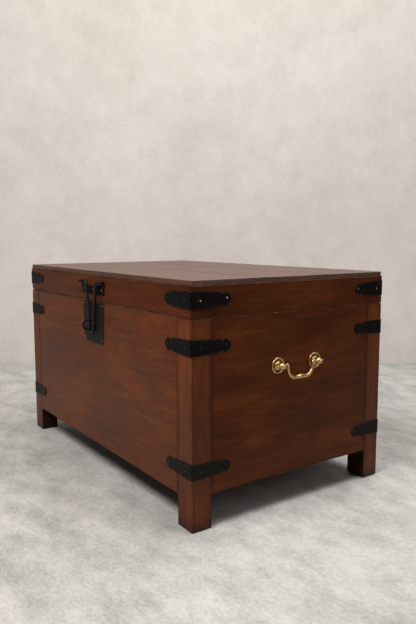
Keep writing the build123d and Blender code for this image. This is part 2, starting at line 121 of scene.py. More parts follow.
class Wiring:
    """Adds nodes to a tree and joins them by socket."""

    def __init__(self, tree: bpy.types.NodeTree) -> None:
        """Keep the tree that the nodes go into."""
        self.tree = tree

    def node(self, kind: str, inputs: dict | None = None, **settings: object) -> bpy.types.Node:
        """Add one node.

        Args:
            kind: the node's type name.
            inputs: socket name or index to a value or to the socket that feeds it.
            settings: the node's own properties.

        Returns:
            The new node.
        """
        made = self.tree.nodes.new(kind)
        for name, value in settings.items():
            setattr(made, name, value)
        for key, value in (inputs or {}).items():
            self.feed(made.inputs[key], value)
        return made

    def feed(self, socket: bpy.types.NodeSocket, value: object) -> None:
        """Link a socket, or set its value when a plain value is given."""
        if isinstance(value, bpy.types.NodeSocket):
            self.tree.links.new(value, socket)
        else:
            socket.default_value = value

    def maths(self, operation: str, a: object, b: object = 0.0, clamp: bool = False):
        """The result of one Math node, of this tree's own kind."""
        made = self.node("ShaderNodeMath", {0: a, 1: b}, operation=operation, use_clamp=clamp)
        return made.outputs[0]

    def vector(self, operation: str, a: object, b: object = (0.0, 0.0, 0.0)):
        """The vector result of one Vector Math node."""
        made = self.node("ShaderNodeVectorMath", {0: a, 1: b}, operation=operation)
        return made.outputs["Vector"]

    def scaled(self, vector: object, factors: Sequence[float]):
        """A vector with each axis multiplied."""
        return self.vector("MULTIPLY", vector, tuple(factors))

    def noise(self, place: object, scale: float, detail: float = 3.0, rough: float = 0.5,
              warp: float = 0.0):
        """The value of a Noise Texture at a place."""
        made = self.node(
            "ShaderNodeTexNoise",
            {"Vector": place, "Scale": scale, "Detail": detail, "Roughness": rough,
             "Distortion": warp},
        )
        return made.outputs[0]

    def remap(self, value: object, low: float, high: float, to_low: float = 0.0,
              to_high: float = 1.0):
        """A value moved from one range to another, and held inside it."""
        made = self.node(
            "ShaderNodeMapRange", {0: value, 1: low, 2: high, 3: to_low, 4: to_high}, clamp=True
        )
        return made.outputs[0]

    def blend(self, factor: object, a: object, b: object, how: str = "MIX"):
        """Two colours mixed."""
        made = self.node("ShaderNodeMix", data_type="RGBA", blend_type=how, clamp_factor=True)
        colours = [s for s in made.inputs if s.type == "RGBA"]
        self.feed(made.inputs[0], factor)
        self.feed(colours[0], a)
        self.feed(colours[1], b)
        return next(s for s in made.outputs if s.type == "RGBA")

    def laid_over(self, under: object, mask: object, share: float, colour: tuple):
        """A colour laid over what is under it, where the mask shows, up to a share."""
        return self.blend(self.maths("MULTIPLY", mask, share), under, (*colour, 1.0))

    def ramp(self, factor: object, stops: Sequence[tuple]):
        """A colour ramp.

        Args:
            factor: the value looked up.
            stops: (place, colour) pairs from low to high.

        Returns:
            The colour socket.
        """
        made = self.node("ShaderNodeValToRGB", {0: factor})
        band = made.color_ramp
        while len(band.elements) < len(stops):
            band.elements.new(0.5)
        for element, (place, colour) in zip(band.elements, stops):
            element.position = place
            element.color = (*colour, 1.0)
        return made.outputs[0]


class ShaderGroup:
    """A shader node group with named inputs and outputs."""

    def __init__(self, name: str, inputs: Sequence[tuple], outputs: Sequence[tuple]) -> None:
        """Make the group's sockets.

        Args:
            name: the group's name.
            inputs: (name, kind, default) for each input, the default None where it must be fed.
            outputs: (name, kind) for each output.
        """
        self.tree = bpy.data.node_groups.new(name, "ShaderNodeTree")
        for label, kind, default in inputs:
            socket = self.tree.interface.new_socket(label, in_out="INPUT", socket_type=kind)
            if default is not None:
                socket.default_value = default
        for label, kind in outputs:
            self.tree.interface.new_socket(label, in_out="OUTPUT", socket_type=kind)
        self.wires = Wiring(self.tree)
        self.given = self.wires.node("NodeGroupInput").outputs
        self.result = self.wires.node("NodeGroupOutput").inputs

    def gives(self, **sockets: object) -> None:
        """Join the outputs, an underscore in a name standing for a space."""
        for name, value in sockets.items():
            self.wires.feed(self.result[name.replace("_", " ")], value)

    def place(self, wires: Wiring, **inputs: object) -> bpy.types.bpy_prop_collection:
        """Put the group into another tree and return its outputs."""
        named = {name.replace("_", " "): value for name, value in inputs.items()}
        made = wires.node("ShaderNodeGroup", node_tree=self.tree)
        for name, value in named.items():
            wires.feed(made.inputs[name], value)
        return made.outputs


FLOAT = "NodeSocketFloat"
VECTOR = "NodeSocketVector"
COLOUR = "NodeSocketColor"


# ---------------------------------------------------------------------------------------------
# Shared shader groups
# ---------------------------------------------------------------------------------------------


def wood_figure_group() -> ShaderGroup:
    """Hardwood figure for a board whose grain runs along X.

    Returns:
        A group that gives growth bands, short fibres, broad blotches and pores.
    """
    group = ShaderGroup(
        "wood_figure",
        [("Position", VECTOR, None), ("Seed", FLOAT, 0.0)],
        [("Bands", FLOAT), ("Fibres", FLOAT), ("Blotches", FLOAT), ("Pores", FLOAT)],
    )
    wires, given = group.wires, group.given
    shift = wires.node("ShaderNodeCombineXYZ", {
        0: wires.maths("MULTIPLY", given["Seed"], 1.37),
        1: wires.maths("MULTIPLY", given["Seed"], 0.71),
        2: wires.maths("MULTIPLY", given["Seed"], 0.43),
    }).outputs[0]
    here = wires.vector("ADD", given["Position"], shift)
    sway = wires.noise(wires.scaled(here, (2.6, 5.0, 5.0)), 1.0, 2.0)
    lean = wires.node("ShaderNodeCombineXYZ", {
        1: wires.maths("MULTIPLY", wires.maths("SUBTRACT", sway, 0.5), 0.045),
        2: wires.maths("MULTIPLY", wires.maths("SUBTRACT", sway, 0.5), 0.045),
    }).outputs[0]
    bent = wires.vector("ADD", here, lean)
    bands = wires.noise(wires.scaled(bent, (5.0, 62.0, 62.0)), 1.0, 4.0, 0.6)
    fine = wires.noise(wires.scaled(bent, (22.0, 300.0, 300.0)), 1.0, 3.0, 0.6)
    fibres = wires.noise(wires.scaled(bent, (52.0, 560.0, 560.0)), 1.0, 2.0, 0.6)
    blotches = wires.noise(wires.scaled(here, (5.0, 13.0, 13.0)), 1.0, 4.0, 0.6, 0.5)
    pores = wires.noise(wires.scaled(bent, (95.0, 1500.0, 1500.0)), 1.0, 1.0)
    both = wires.maths("ADD", wires.maths("MULTIPLY", bands, 0.62),
                       wires.maths("MULTIPLY", fine, 0.38))
    group.gives(Bands=wires.remap(both, 0.34, 0.66), Fibres=wires.remap(fibres, 0.36, 0.72),
                Blotches=wires.remap(blotches, 0.32, 0.68), Pores=wires.remap(pores, 0.58, 0.72))
    return group


def edge_wear_group() -> ShaderGroup:
    """Rubbed arrises: strongest at an edge and broken up along it.

    Returns:
        A group that gives the wear mask, small painted glints on the very edge, and a wider mask of
        grime beside edges and joints.
    """
    group = ShaderGroup(
        "edge_wear",
        [("Position", VECTOR, None), ("Edge Distance", FLOAT, 1.0), ("Joint Distance", FLOAT, 1.0),
         ("Width", FLOAT, 0.002), ("Grime Width", FLOAT, 0.009)],
        [("Wear", FLOAT), ("Chips", FLOAT), ("Grime", FLOAT)],
    )
    wires, given = group.wires, group.given
    patches = wires.remap(wires.noise(given["Position"], 38.0, 4.0, 0.65), 0.40, 0.62)
    reach = wires.maths("MULTIPLY", given["Width"], wires.maths("ADD", patches, 0.25))
    near = wires.maths("SUBTRACT", 1.0, wires.maths("DIVIDE", given["Edge Distance"], reach),
                       clamp=True)
    # Sparse pale spots on the crest of an edge: painted glints, a highlight laid into the colour.
    specks = wires.remap(wires.noise(given["Position"], 190.0, 2.0, 0.6), 0.63, 0.69)
    crest = wires.remap(given["Edge Distance"], 0.3 * MM, 1.1 * MM, 1.0, 0.0)
    chip_glints = wires.maths("MULTIPLY", wires.maths("MULTIPLY", specks, crest), patches)
    dirt = wires.remap(wires.noise(given["Position"], 17.0, 3.0, 0.6), 0.35, 0.65, 0.35, 1.0)
    nearest = wires.maths("MINIMUM", given["Joint Distance"],
                          wires.maths("MULTIPLY", given["Edge Distance"], 1.6))
    close = wires.maths("SUBTRACT", 1.0, wires.maths("DIVIDE", nearest, given["Grime Width"]),
                        clamp=True)
    packed = wires.remap(given["Joint Distance"], 0.2 * MM, 0.9 * MM, 1.0, 0.0)
    group.gives(Wear=near, Chips=chip_glints,
                Grime=wires.maths("MAXIMUM", wires.maths("MULTIPLY", close, dirt), packed))
    return group


def scratches_group() -> ShaderGroup:
    """Hair scratches here and there, and small pale specks.

    Returns:
        A group that gives a scratch mask and a speck mask.
    """
    group = ShaderGroup(
        "scratches",
        [("Position", VECTOR, None)],
        [("Scratches", FLOAT), ("Specks", FLOAT)],
    )
    wires, given = group.wires, group.given
    curl = wires.node("ShaderNodeTexNoise", {"Vector": given["Position"], "Scale": 6.0,
                                             "Detail": 1.0}).outputs["Color"]
    bent = wires.vector("ADD", given["Position"], wires.scaled(curl, (0.05, 0.05, 0.05)))
    cells = wires.node("ShaderNodeTexVoronoi", {"Vector": bent, "Scale": 9.0},
                       feature="DISTANCE_TO_EDGE").outputs["Distance"]
    line = wires.remap(cells, 0.0, 0.0045, 1.0, 0.0)
    some = wires.remap(wires.noise(given["Position"], 14.0, 3.0, 0.6), 0.60, 0.68)
    dots = wires.node("ShaderNodeTexVoronoi", {"Vector": given["Position"], "Scale": 62.0},
                      feature="F1")
    small = wires.remap(dots.outputs["Distance"], 0.025, 0.055, 1.0, 0.0)
    rare = wires.maths("GREATER_THAN", wires.node(
        "ShaderNodeSeparateColor", {0: dots.outputs["Color"]}).outputs[0], 0.88)
    group.gives(Scratches=wires.maths("MULTIPLY", line, some),
                Specks=wires.maths("MULTIPLY", small, rare))
    return group


def swung_scratch_group() -> ShaderGroup:
    """A hair scratch along part of a circle on an end face, as something swung leaves.

    Returns:
        A group that gives the scratch's mask.
    """
    group = ShaderGroup(
        "swung_scratch",
        [("Position", VECTOR, None), ("Middle", VECTOR, (0.0, 0.0, 0.0)), ("Reach", FLOAT, 0.06),
         ("Width", FLOAT, 0.0005)],
        [("Scratch", FLOAT)],
    )
    wires, given = group.wires, group.given
    flat = wires.scaled(wires.vector("SUBTRACT", given["Position"], given["Middle"]), (0, 1, 1))
    away = wires.node("ShaderNodeVectorMath", {0: flat}, operation="LENGTH").outputs["Value"]
    waver = wires.maths("MULTIPLY", wires.noise(given["Position"], 22.0, 1.0), 3.0 * MM)
    off = wires.maths("ABSOLUTE", wires.maths(
        "SUBTRACT", wires.maths("ADD", away, waver), given["Reach"]))
    line = wires.maths("SUBTRACT", 1.0, wires.maths("DIVIDE", off, given["Width"]), clamp=True)
    height = wires.node("ShaderNodeSeparateXYZ", {0: flat}).outputs[2]
    lower = wires.remap(height, -0.005, -0.02, 0.0, 1.0)
    broken = wires.remap(wires.noise(given["Position"], 60.0, 2.0), 0.38, 0.6, 0.25, 1.0)
    group.gives(Scratch=wires.maths("MULTIPLY", wires.maths("MULTIPLY", line, lower), broken))
    return group


def hollow_group(wall_x: float, wall_y: float, post_x: float, post_y: float,
                 floor: float, top: float) -> ShaderGroup:
    """The inside of the chest, which was never polished, and painted shade on the feet's inner
    faces.

    Args:
        wall_x: from the middle to the inner face of an end panel.
        wall_y: from the middle to the inner face of a front or back panel.
        post_x: from the middle to a post's inner face along X.
        post_y: from the middle to a post's inner face along Y.
        floor: height of the panels' lower edges.
        top: height of the lid's upper face.

    Returns:
        A group that gives 1 on the faces inside, and 1 on the faces that look inwards below, which
        get painted shade.
    """
    group = ShaderGroup("bare_and_under", [("Position", VECTOR, None)],
                        [("Inside", FLOAT), ("Under", FLOAT)])
    wires, given = group.wires, group.given
    axes = wires.node("ShaderNodeSeparateXYZ", {0: given["Position"]}).outputs
    skin = 0.9 * MM
    far_x, far_y = (wires.maths("ABSOLUTE", axes[i]) for i in (0, 1))
    within = wires.maths("MULTIPLY", wires.maths("LESS_THAN", far_x, wall_x + skin),
                         wires.maths("LESS_THAN", far_y, wall_y + skin))
    raised = wires.maths("MULTIPLY", wires.maths("GREATER_THAN", axes[2], floor + 2 * MM),
                         wires.maths("LESS_THAN", axes[2], top - 5 * MM))
    # The feet's faces that look inwards below the panels: where shade is painted.
    looks_in = wires.maths("MAXIMUM", wires.maths("LESS_THAN", far_x, post_x + skin),
                           wires.maths("LESS_THAN", far_y, post_y + skin))
    below = wires.maths("LESS_THAN", axes[2], floor + skin)
    group.gives(Inside=wires.maths("MULTIPLY", within, raised),
                Under=wires.maths("MULTIPLY", looks_in, below))
    return group


# ---------------------------------------------------------------------------------------------
# Finishes
# ---------------------------------------------------------------------------------------------


class Workshop:
    """Holds the shared groups and the materials made so far."""

    def __init__(self, hollow: ShaderGroup) -> None:
        """Build every shared group once."""
        self.figure = wood_figure_group()
        self.wear = edge_wear_group()
        self.marks = scratches_group()
        self.swung = swung_scratch_group()
        self.hollow = hollow
        self.materials: dict[object, bpy.types.Material] = {}

    def material(self, finish: "Finish") -> bpy.types.Material:
        """The material of a finish, made the first time it is asked for."""
        if finish not in self.materials:
            made = bpy.data.materials.new(finish.label)
            made.use_nodes = True
            made.node_tree.nodes.clear()
            wires = Wiring(made.node_tree)
            shader = wires.node("ShaderNodeBsdfPrincipled")
            wires.node("ShaderNodeOutputMaterial", {"Surface": shader.outputs[0]})
            finish.dress(self, wires, shader)
            self.materials[finish] = made
        return self.materials[finish]


@dataclass(frozen=True)
class Finish:
    """What every finish has: a label, and a way to wire its shader."""

    label: str

    def dress(self, shop: Workshop, wires: Wiring, shader: bpy.types.Node) -> None:
        """Wire the colour, roughness and bump of this finish into the shader."""
        raise NotImplementedError

    @staticmethod
    def place(wires: Wiring) -> bpy.types.NodeSocket:
        """The piece's own Object coordinates."""
        return wires.node("ShaderNodeTexCoord").outputs["Object"]

    @staticmethod
    def stored(wires: Wiring, name: str) -> bpy.types.NodeSocket:
        """A value stored on the piece's points."""
        found = wires.node("ShaderNodeAttribute", attribute_type="GEOMETRY",
                           attribute_name=name)
        return found.outputs["Fac"]

    @staticmethod
    def bump(wires: Wiring, shader: bpy.types.Node, height: object, depth: float,
             strength: float = 1.0) -> None:
        """Feed a height into the shader's normal."""
        made = wires.node("ShaderNodeBump", {"Height": height, "Distance": depth,
                                             "Strength": strength})
        wires.feed(shader.inputs["Normal"], made.outputs[0])


HANDLED_GRIME = (0.013, 0.0052, 0.0028)
FLOOR_DIRT = (0.017, 0.0095, 0.0055)
# Pale colour of the painted glints on the very edges, partly chipped bare finish.
EDGE_GLINT_CHIP = (0.50, 0.38, 0.28)
PALE_SPECK = (0.30, 0.20, 0.14)
RAW_BAND = (0.070, 0.034, 0.017)
# Painted shade colour for the feet's inward faces below the panels.
PAINTED_UNDER_SHADE = (0.010, 0.0045, 0.0028)


@dataclass(frozen=True)
class StainedWood(Finish):
    """Reddish brown stained and waxed hardwood."""

    grain: Grain = Grain.ALONG_X
    seed: float = 0.0
    glow: float = 0.5
    # light scales the stain's colours; the values below 1 used here are partly painted shade.
    light: float = 1.0
    gloss: float = 0.17
    swung: tuple = ()
    dark: tuple = (0.048, 0.0130, 0.0026)
    middle: tuple = (0.110, 0.0300, 0.0052)
    bright: tuple = (0.200, 0.0620, 0.0105)
    worn: tuple = (0.36, 0.165, 0.066)
    raw: tuple = (0.150, 0.078, 0.040)

    def dress(self, shop: Workshop, wires: Wiring, shader: bpy.types.Node) -> None:
        """Wire the stain over the figure, then wear, grime, painted edge glints, scratches, the
        bare inside and painted shade below.
        """
        place = self.place(wires)
        laid = wires.node("ShaderNodeMapping", {"Vector": place, "Rotation": self.grain.value})
        figure = shop.figure.place(wires, Position=laid.outputs[0], Seed=self.seed)
        edges = shop.wear.place(
            wires, Position=place, Edge_Distance=self.stored(wires, "edge_distance"),
            Joint_Distance=self.stored(wires, "joint_distance"), Width=1.7 * MM,
            Grime_Width=8.0 * MM,
        )
        marks = shop.marks.place(wires, Position=place)
        bare_and_under = shop.hollow.place(wires, Position=place)
        inside = bare_and_under["Inside"]
        colour = self.stain(wires, figure)
        colour = wires.laid_over(colour, edges["Grime"], 0.60, HANDLED_GRIME)
        colour = wires.blend(self.floor_grime(wires, place), colour, (*FLOOR_DIRT, 1.0))
        colour = wires.laid_over(colour, edges["Wear"], 0.26, self.worn)
        # Painted glints on the arrises, partly chipped bare finish: pale spots laid into the
        # colour.
        colour = wires.laid_over(colour, edges["Chips"], 0.60, EDGE_GLINT_CHIP)
        scratches = wires.maths("MULTIPLY", marks["Scratches"], 0.5)
        for middle, reach in self.swung:
            arc = shop.swung.place(wires, Position=place, Middle=middle, Reach=reach,
                                   Width=0.55 * MM)["Scratch"]
            scratches = wires.maths("MAXIMUM", scratches, arc)
        colour = wires.laid_over(colour, scratches, 0.34, self.worn)
        colour = wires.laid_over(colour, marks["Specks"], 0.40, PALE_SPECK)
        bare = wires.laid_over((*self.raw, 1.0), figure["Bands"], 0.6, RAW_BAND)
        colour = wires.blend(inside, colour, bare)
        # Painted shade: the feet's inward faces below the panels are darkened nearly to black.
        colour = wires.laid_over(colour, bare_and_under["Under"], 0.85, PAINTED_UNDER_SHADE)
        wires.feed(shader.inputs["Base Color"], colour)

        polish = wires.maths("ADD", wires.remap(figure["Blotches"], 0.0, 1.0, 0.34, 0.44),
                             wires.maths("MULTIPLY", figure["Fibres"], 0.06))
        dull = wires.maths("ADD", polish, wires.maths("MULTIPLY", inside, 0.30))
        rough = wires.maths("ADD", dull, wires.maths("MULTIPLY", edges["Grime"], 0.20))
        wires.feed(shader.inputs["Roughness"], rough)
        shader.inputs["Specular IOR Level"].default_value = self.gloss

        relief = wires.maths("ADD", wires.maths("MULTIPLY", figure["Fibres"], 0.5),
                             wires.maths("MULTIPLY", figure["Bands"], 0.6))
        cut = wires.maths("SUBTRACT", relief, wires.maths("MULTIPLY", figure["Pores"], 0.8))
        scored = wires.maths("SUBTRACT", cut, wires.maths("MULTIPLY", scratches, 1.2))
        self.bump(wires, shader, scored, 0.10 * MM, 0.8)

    def stain(self, wires: Wiring, figure: bpy.types.bpy_prop_collection):
        """The stain's colour over the growth bands, fibres and pores."""
        tone = wires.maths("ADD", wires.maths("MULTIPLY", figure["Bands"], 0.36),
                           wires.maths("MULTIPLY", figure["Blotches"], 0.38))
        tone = wires.maths("ADD", tone, 0.13)
        tone = wires.maths("ADD", tone, 0.36 * (self.glow - 0.5))
        # light darkens the three stops; where it is below 1 this is partly painted shade.
        colour = wires.ramp(tone, (
            (0.12, tuple(self.light * c for c in self.dark)),
            (0.52, tuple(self.light * c for c in self.middle)),
            (0.92, tuple(self.light * c for c in self.bright)),
        ))
        fleck = wires.blend(wires.maths("MULTIPLY", figure["Fibres"], 0.80), colour,
                            tuple(2.4 * c for c in self.bright) + (1.0,), "SOFT_LIGHT")
        return wires.laid_over(fleck, figure["Pores"], 0.50, self.dark)

    @staticmethod
    def floor_grime(wires: Wiring, place: bpy.types.NodeSocket) -> bpy.types.NodeSocket:
        """How far the dirt of the floor has got up the feet."""
        height = wires.node("ShaderNodeSeparateXYZ", {0: place}).outputs[2]
        ragged = wires.maths("ADD", height, wires.remap(wires.noise(place, 70.0, 3.0, 0.6),
                                                        0.3, 0.7, -9 * MM, 9 * MM))
        return wires.remap(ragged, 2 * MM, 24 * MM, 0.8, 0.0)


@dataclass(frozen=True)
class BlackIron(Finish):
    """Forged iron, blackened, a little rusted, rubbed at the rims and with glints painted on them.
    """

    seed: float = 0.0
    rust: float = 0.25
    shade: float = 1.0
    gloss: float = 0.045

    def dress(self, shop: Workshop, wires: Wiring, shader: bpy.types.Node) -> None:
        """Wire the black skin, the rust specks, the rubbed rims and the glints painted on them."""
        place = self.place(wires)
        here = wires.vector("ADD", place, (self.seed * 0.31, self.seed * 0.17, self.seed * 0.53))
        edges = shop.wear.place(wires, Position=here,
                                Edge_Distance=self.stored(wires, "edge_distance"),
                                Joint_Distance=1.0, Width=1.0 * MM, Grime_Width=5.0 * MM)
        mottle = wires.noise(here, 120.0, 4.0, 0.6)
        pits = wires.noise(here, 620.0, 3.0, 0.6)
        spots = wires.remap(wires.noise(here, 95.0, 5.0, 0.7), 0.61 - 0.04 * self.rust, 0.72)
        rust = wires.maths("MULTIPLY", spots, self.rust)
        skin = wires.ramp(mottle, (
            (0.25, tuple(self.shade * c for c in (0.0030, 0.0031, 0.0031))),
            (0.75, tuple(self.shade * c for c in (0.0085, 0.0083, 0.0078))),
        ))
        rusty = wires.blend(rust, skin, (0.100, 0.054, 0.020, 1.0))
        rubbed = wires.blend(wires.maths("MULTIPLY", edges["Wear"], 0.22), rusty,
                             (0.060, 0.055, 0.050, 1.0))
        # Painted glints: pale spots on the rims, a highlight laid into the colour.
        rim_glinted = wires.blend(wires.maths("MULTIPLY", edges["Chips"], 0.85), rubbed,
                              (0.42, 0.34, 0.27, 1.0))
        wires.feed(shader.inputs["Base Color"], rim_glinted)
        wires.feed(shader.inputs["Metallic"],
                   wires.maths("MULTIPLY", wires.remap(rust, 0.0, 0.4, 1.0, 0.2), 0.30))
        rough = wires.maths("ADD", wires.remap(mottle, 0.3, 0.7, 0.40, 0.56),
                            wires.maths("MULTIPLY", rust, 0.3))
        wires.feed(shader.inputs["Roughness"], rough)
        shader.inputs["Specular IOR Level"].default_value = self.gloss
        height = wires.maths("ADD", wires.maths("MULTIPLY", mottle, 1.0),
                             wires.maths("MULTIPLY", pits, 0.35))
        self.bump(wires, shader, height, 0.35 * MM, 0.75)


@dataclass(frozen=True)
class NailIron(Finish):
    """Nail heads: black, with some rubbed or rusted bright."""

    def dress(self, shop: Workshop, wires: Wiring, shader: bpy.types.Node) -> None:
        """Wire a colour that changes from nail to nail."""
        place = self.place(wires)
        own = wires.node("ShaderNodeAttribute", attribute_type="GEOMETRY",
                         attribute_name="nail_shine").outputs["Fac"]
        mottle = wires.noise(place, 700.0, 3.0, 0.6)
        shine = wires.maths("MULTIPLY", own, wires.remap(mottle, 0.35, 0.6, 0.35, 1.0))
        colour = wires.ramp(shine, (
            (0.0, (0.006, 0.006, 0.006)), (0.35, (0.035, 0.024, 0.015)),
            (0.65, (0.24, 0.165, 0.095)), (1.0, (0.62, 0.50, 0.38)),
        ))
        wires.feed(shader.inputs["Base Color"], colour)
        wires.feed(shader.inputs["Metallic"], wires.remap(shine, 0.0, 1.0, 0.5, 0.8))
        wires.feed(shader.inputs["Roughness"], wires.remap(mottle, 0.3, 0.7, 0.33, 0.55))
        self.bump(wires, shader, mottle, 0.25 * MM, 0.6)


@dataclass(frozen=True)
class AgedBrass(Finish):
    """Turned brass, browned in its hollows and rubbed bright on its crowns."""

    seed: float = 0.0

    def dress(self, shop: Workshop, wires: Wiring, shader: bpy.types.Node) -> None:
        """Wire the bright metal under its brown patina."""
        place = self.place(wires)
        here = wires.vector("ADD", place, (self.seed * 0.3, self.seed * 0.2, self.seed * 0.1))
        hollow = wires.node("ShaderNodeAttribute", attribute_type="GEOMETRY",
                            attribute_name="hollow").outputs["Fac"]
        cloud = wires.noise(here, 95.0, 4.0, 0.62)
        fine = wires.noise(here, 900.0, 3.0, 0.6)
        dirt = wires.maths("ADD", wires.maths("MULTIPLY", hollow, 0.75),
                           wires.remap(cloud, 0.40, 0.75, 0.0, 0.65), clamp=True)
        colour = wires.ramp(dirt, (
            (0.0, (0.70, 0.47, 0.235)), (0.35, (0.47, 0.285, 0.115)),
            (0.75, (0.115, 0.062, 0.022)), (1.0, (0.022, 0.012, 0.006)),
        ))
        wires.feed(shader.inputs["Base Color"], colour)
        wires.feed(shader.inputs["Metallic"], wires.remap(dirt, 0.2, 1.0, 1.0, 0.55))
        rough = wires.maths("ADD", wires.remap(dirt, 0.0, 1.0, 0.27, 0.54),
                            wires.maths("MULTIPLY", fine, 0.10))
        wires.feed(shader.inputs["Roughness"], rough)
        height = wires.maths("ADD", cloud, wires.maths("MULTIPLY", fine, 0.3))
        self.bump(wires, shader, height, 0.25 * MM, 0.6)


@dataclass(frozen=True)
class PlainSteel(Finish):
    """Plain bright fasteners, dulled by age."""

    def dress(self, shop: Workshop, wires: Wiring, shader: bpy.types.Node) -> None:
        """Wire a dull grey metal with fine marks."""
        place = self.place(wires)
        cloud = wires.noise(place, 240.0, 4.0, 0.6)
        wires.feed(shader.inputs["Base Color"],
                   wires.ramp(cloud, ((0.3, (0.20, 0.19, 0.18)), (0.7, (0.42, 0.41, 0.39)))))
        wires.feed(shader.inputs["Metallic"], 0.9)
        wires.feed(shader.inputs["Roughness"], wires.remap(cloud, 0.3, 0.7, 0.35, 0.6))
        self.bump(wires, shader, cloud, 0.2 * MM, 0.5)


@dataclass(frozen=True)
class StudioGround(Finish):
    """A plain pale surface with a faint mottle."""

    pale: tuple = (0.5, 0.5, 0.5)
    deep: tuple = (0.4, 0.4, 0.4)
    stretch: tuple = (1.0, 1.0, 1.0)
    one_sided: bool = False

    def dress(self, shop: Workshop, wires: Wiring, shader: bpy.types.Node) -> None:
        """Wire two close tones, mottled."""
        place = wires.scaled(self.place(wires), self.stretch)
        broad = wires.noise(place, 2.2, 6.0, 0.62)
        streaks = wires.noise(place, 11.0, 8.0, 0.72)
        fine = wires.noise(place, 110.0, 5.0, 0.75)
        mix = wires.maths("ADD", wires.maths("MULTIPLY", broad, 0.30),
                          wires.maths("MULTIPLY", streaks, 0.40))
        mix = wires.maths("ADD", mix, wires.maths("MULTIPLY", fine, 0.30))
        wires.feed(shader.inputs["Base Color"],
                   wires.ramp(mix, ((0.40, self.deep), (0.58, self.pale))))
        shader.inputs["Roughness"].default_value = 0.85
        if self.one_sided:
            behind = wires.node("ShaderNodeNewGeometry").outputs["Backfacing"]
            wires.feed(shader.inputs["Alpha"], wires.maths("SUBTRACT", 1.0, behind))
        self.bump(wires, shader, fine, 0.6 * MM, 0.5)


# ---------------------------------------------------------------------------------------------
# Mesh makers
# ---------------------------------------------------------------------------------------------


def mesh_of(name: str, points: np.ndarray, faces: Sequence[Sequence[int]],
            values: dict[str, np.ndarray] | None = None) -> bpy.types.Mesh:
    """A smooth-shaded mesh with point attributes.

    Args:
        name: the mesh's name.
        points: one row of x, y, z for each vertex.
        faces: vertex numbers of each face, wound to face outwards.
        values: attribute name to one float for each vertex.

    Returns:
        The mesh.
    """
    mesh = bpy.data.meshes.new(name)
    mesh.from_pydata([tuple(p) for p in points], [], [tuple(f) for f in faces])
    for label, data in (values or {}).items():
        layer = mesh.attributes.new(label, "FLOAT", "POINT")
        layer.data.foreach_set("value", np.asarray(data, np.float32))
    mesh.polygons.foreach_set("use_smooth", [True] * len(mesh.polygons))
    mesh.update()
    return mesh


def waves(points: np.ndarray, length: float, seed: int, count: int = 7) -> np.ndarray:
    """A smooth seeded random value between about -1 and 1 at each point.

    Args:
        points: places, one row each.
        length: the size of the features.
        seed: fixes the pattern.
        count: how many waves are summed.

    Returns:
        One value for each point.
    """
    draw = np.random.default_rng(seed)
    total = np.zeros(len(points))
    for _ in range(count):
        way = draw.normal(size=points.shape[1])
        way /= np.linalg.norm(way)
        pitch = length * draw.uniform(0.6, 1.7)
        total += np.sin(points @ way * (2 * math.pi / pitch) + draw.uniform(0, 2 * math.pi))
    return total / math.sqrt(2 * count)


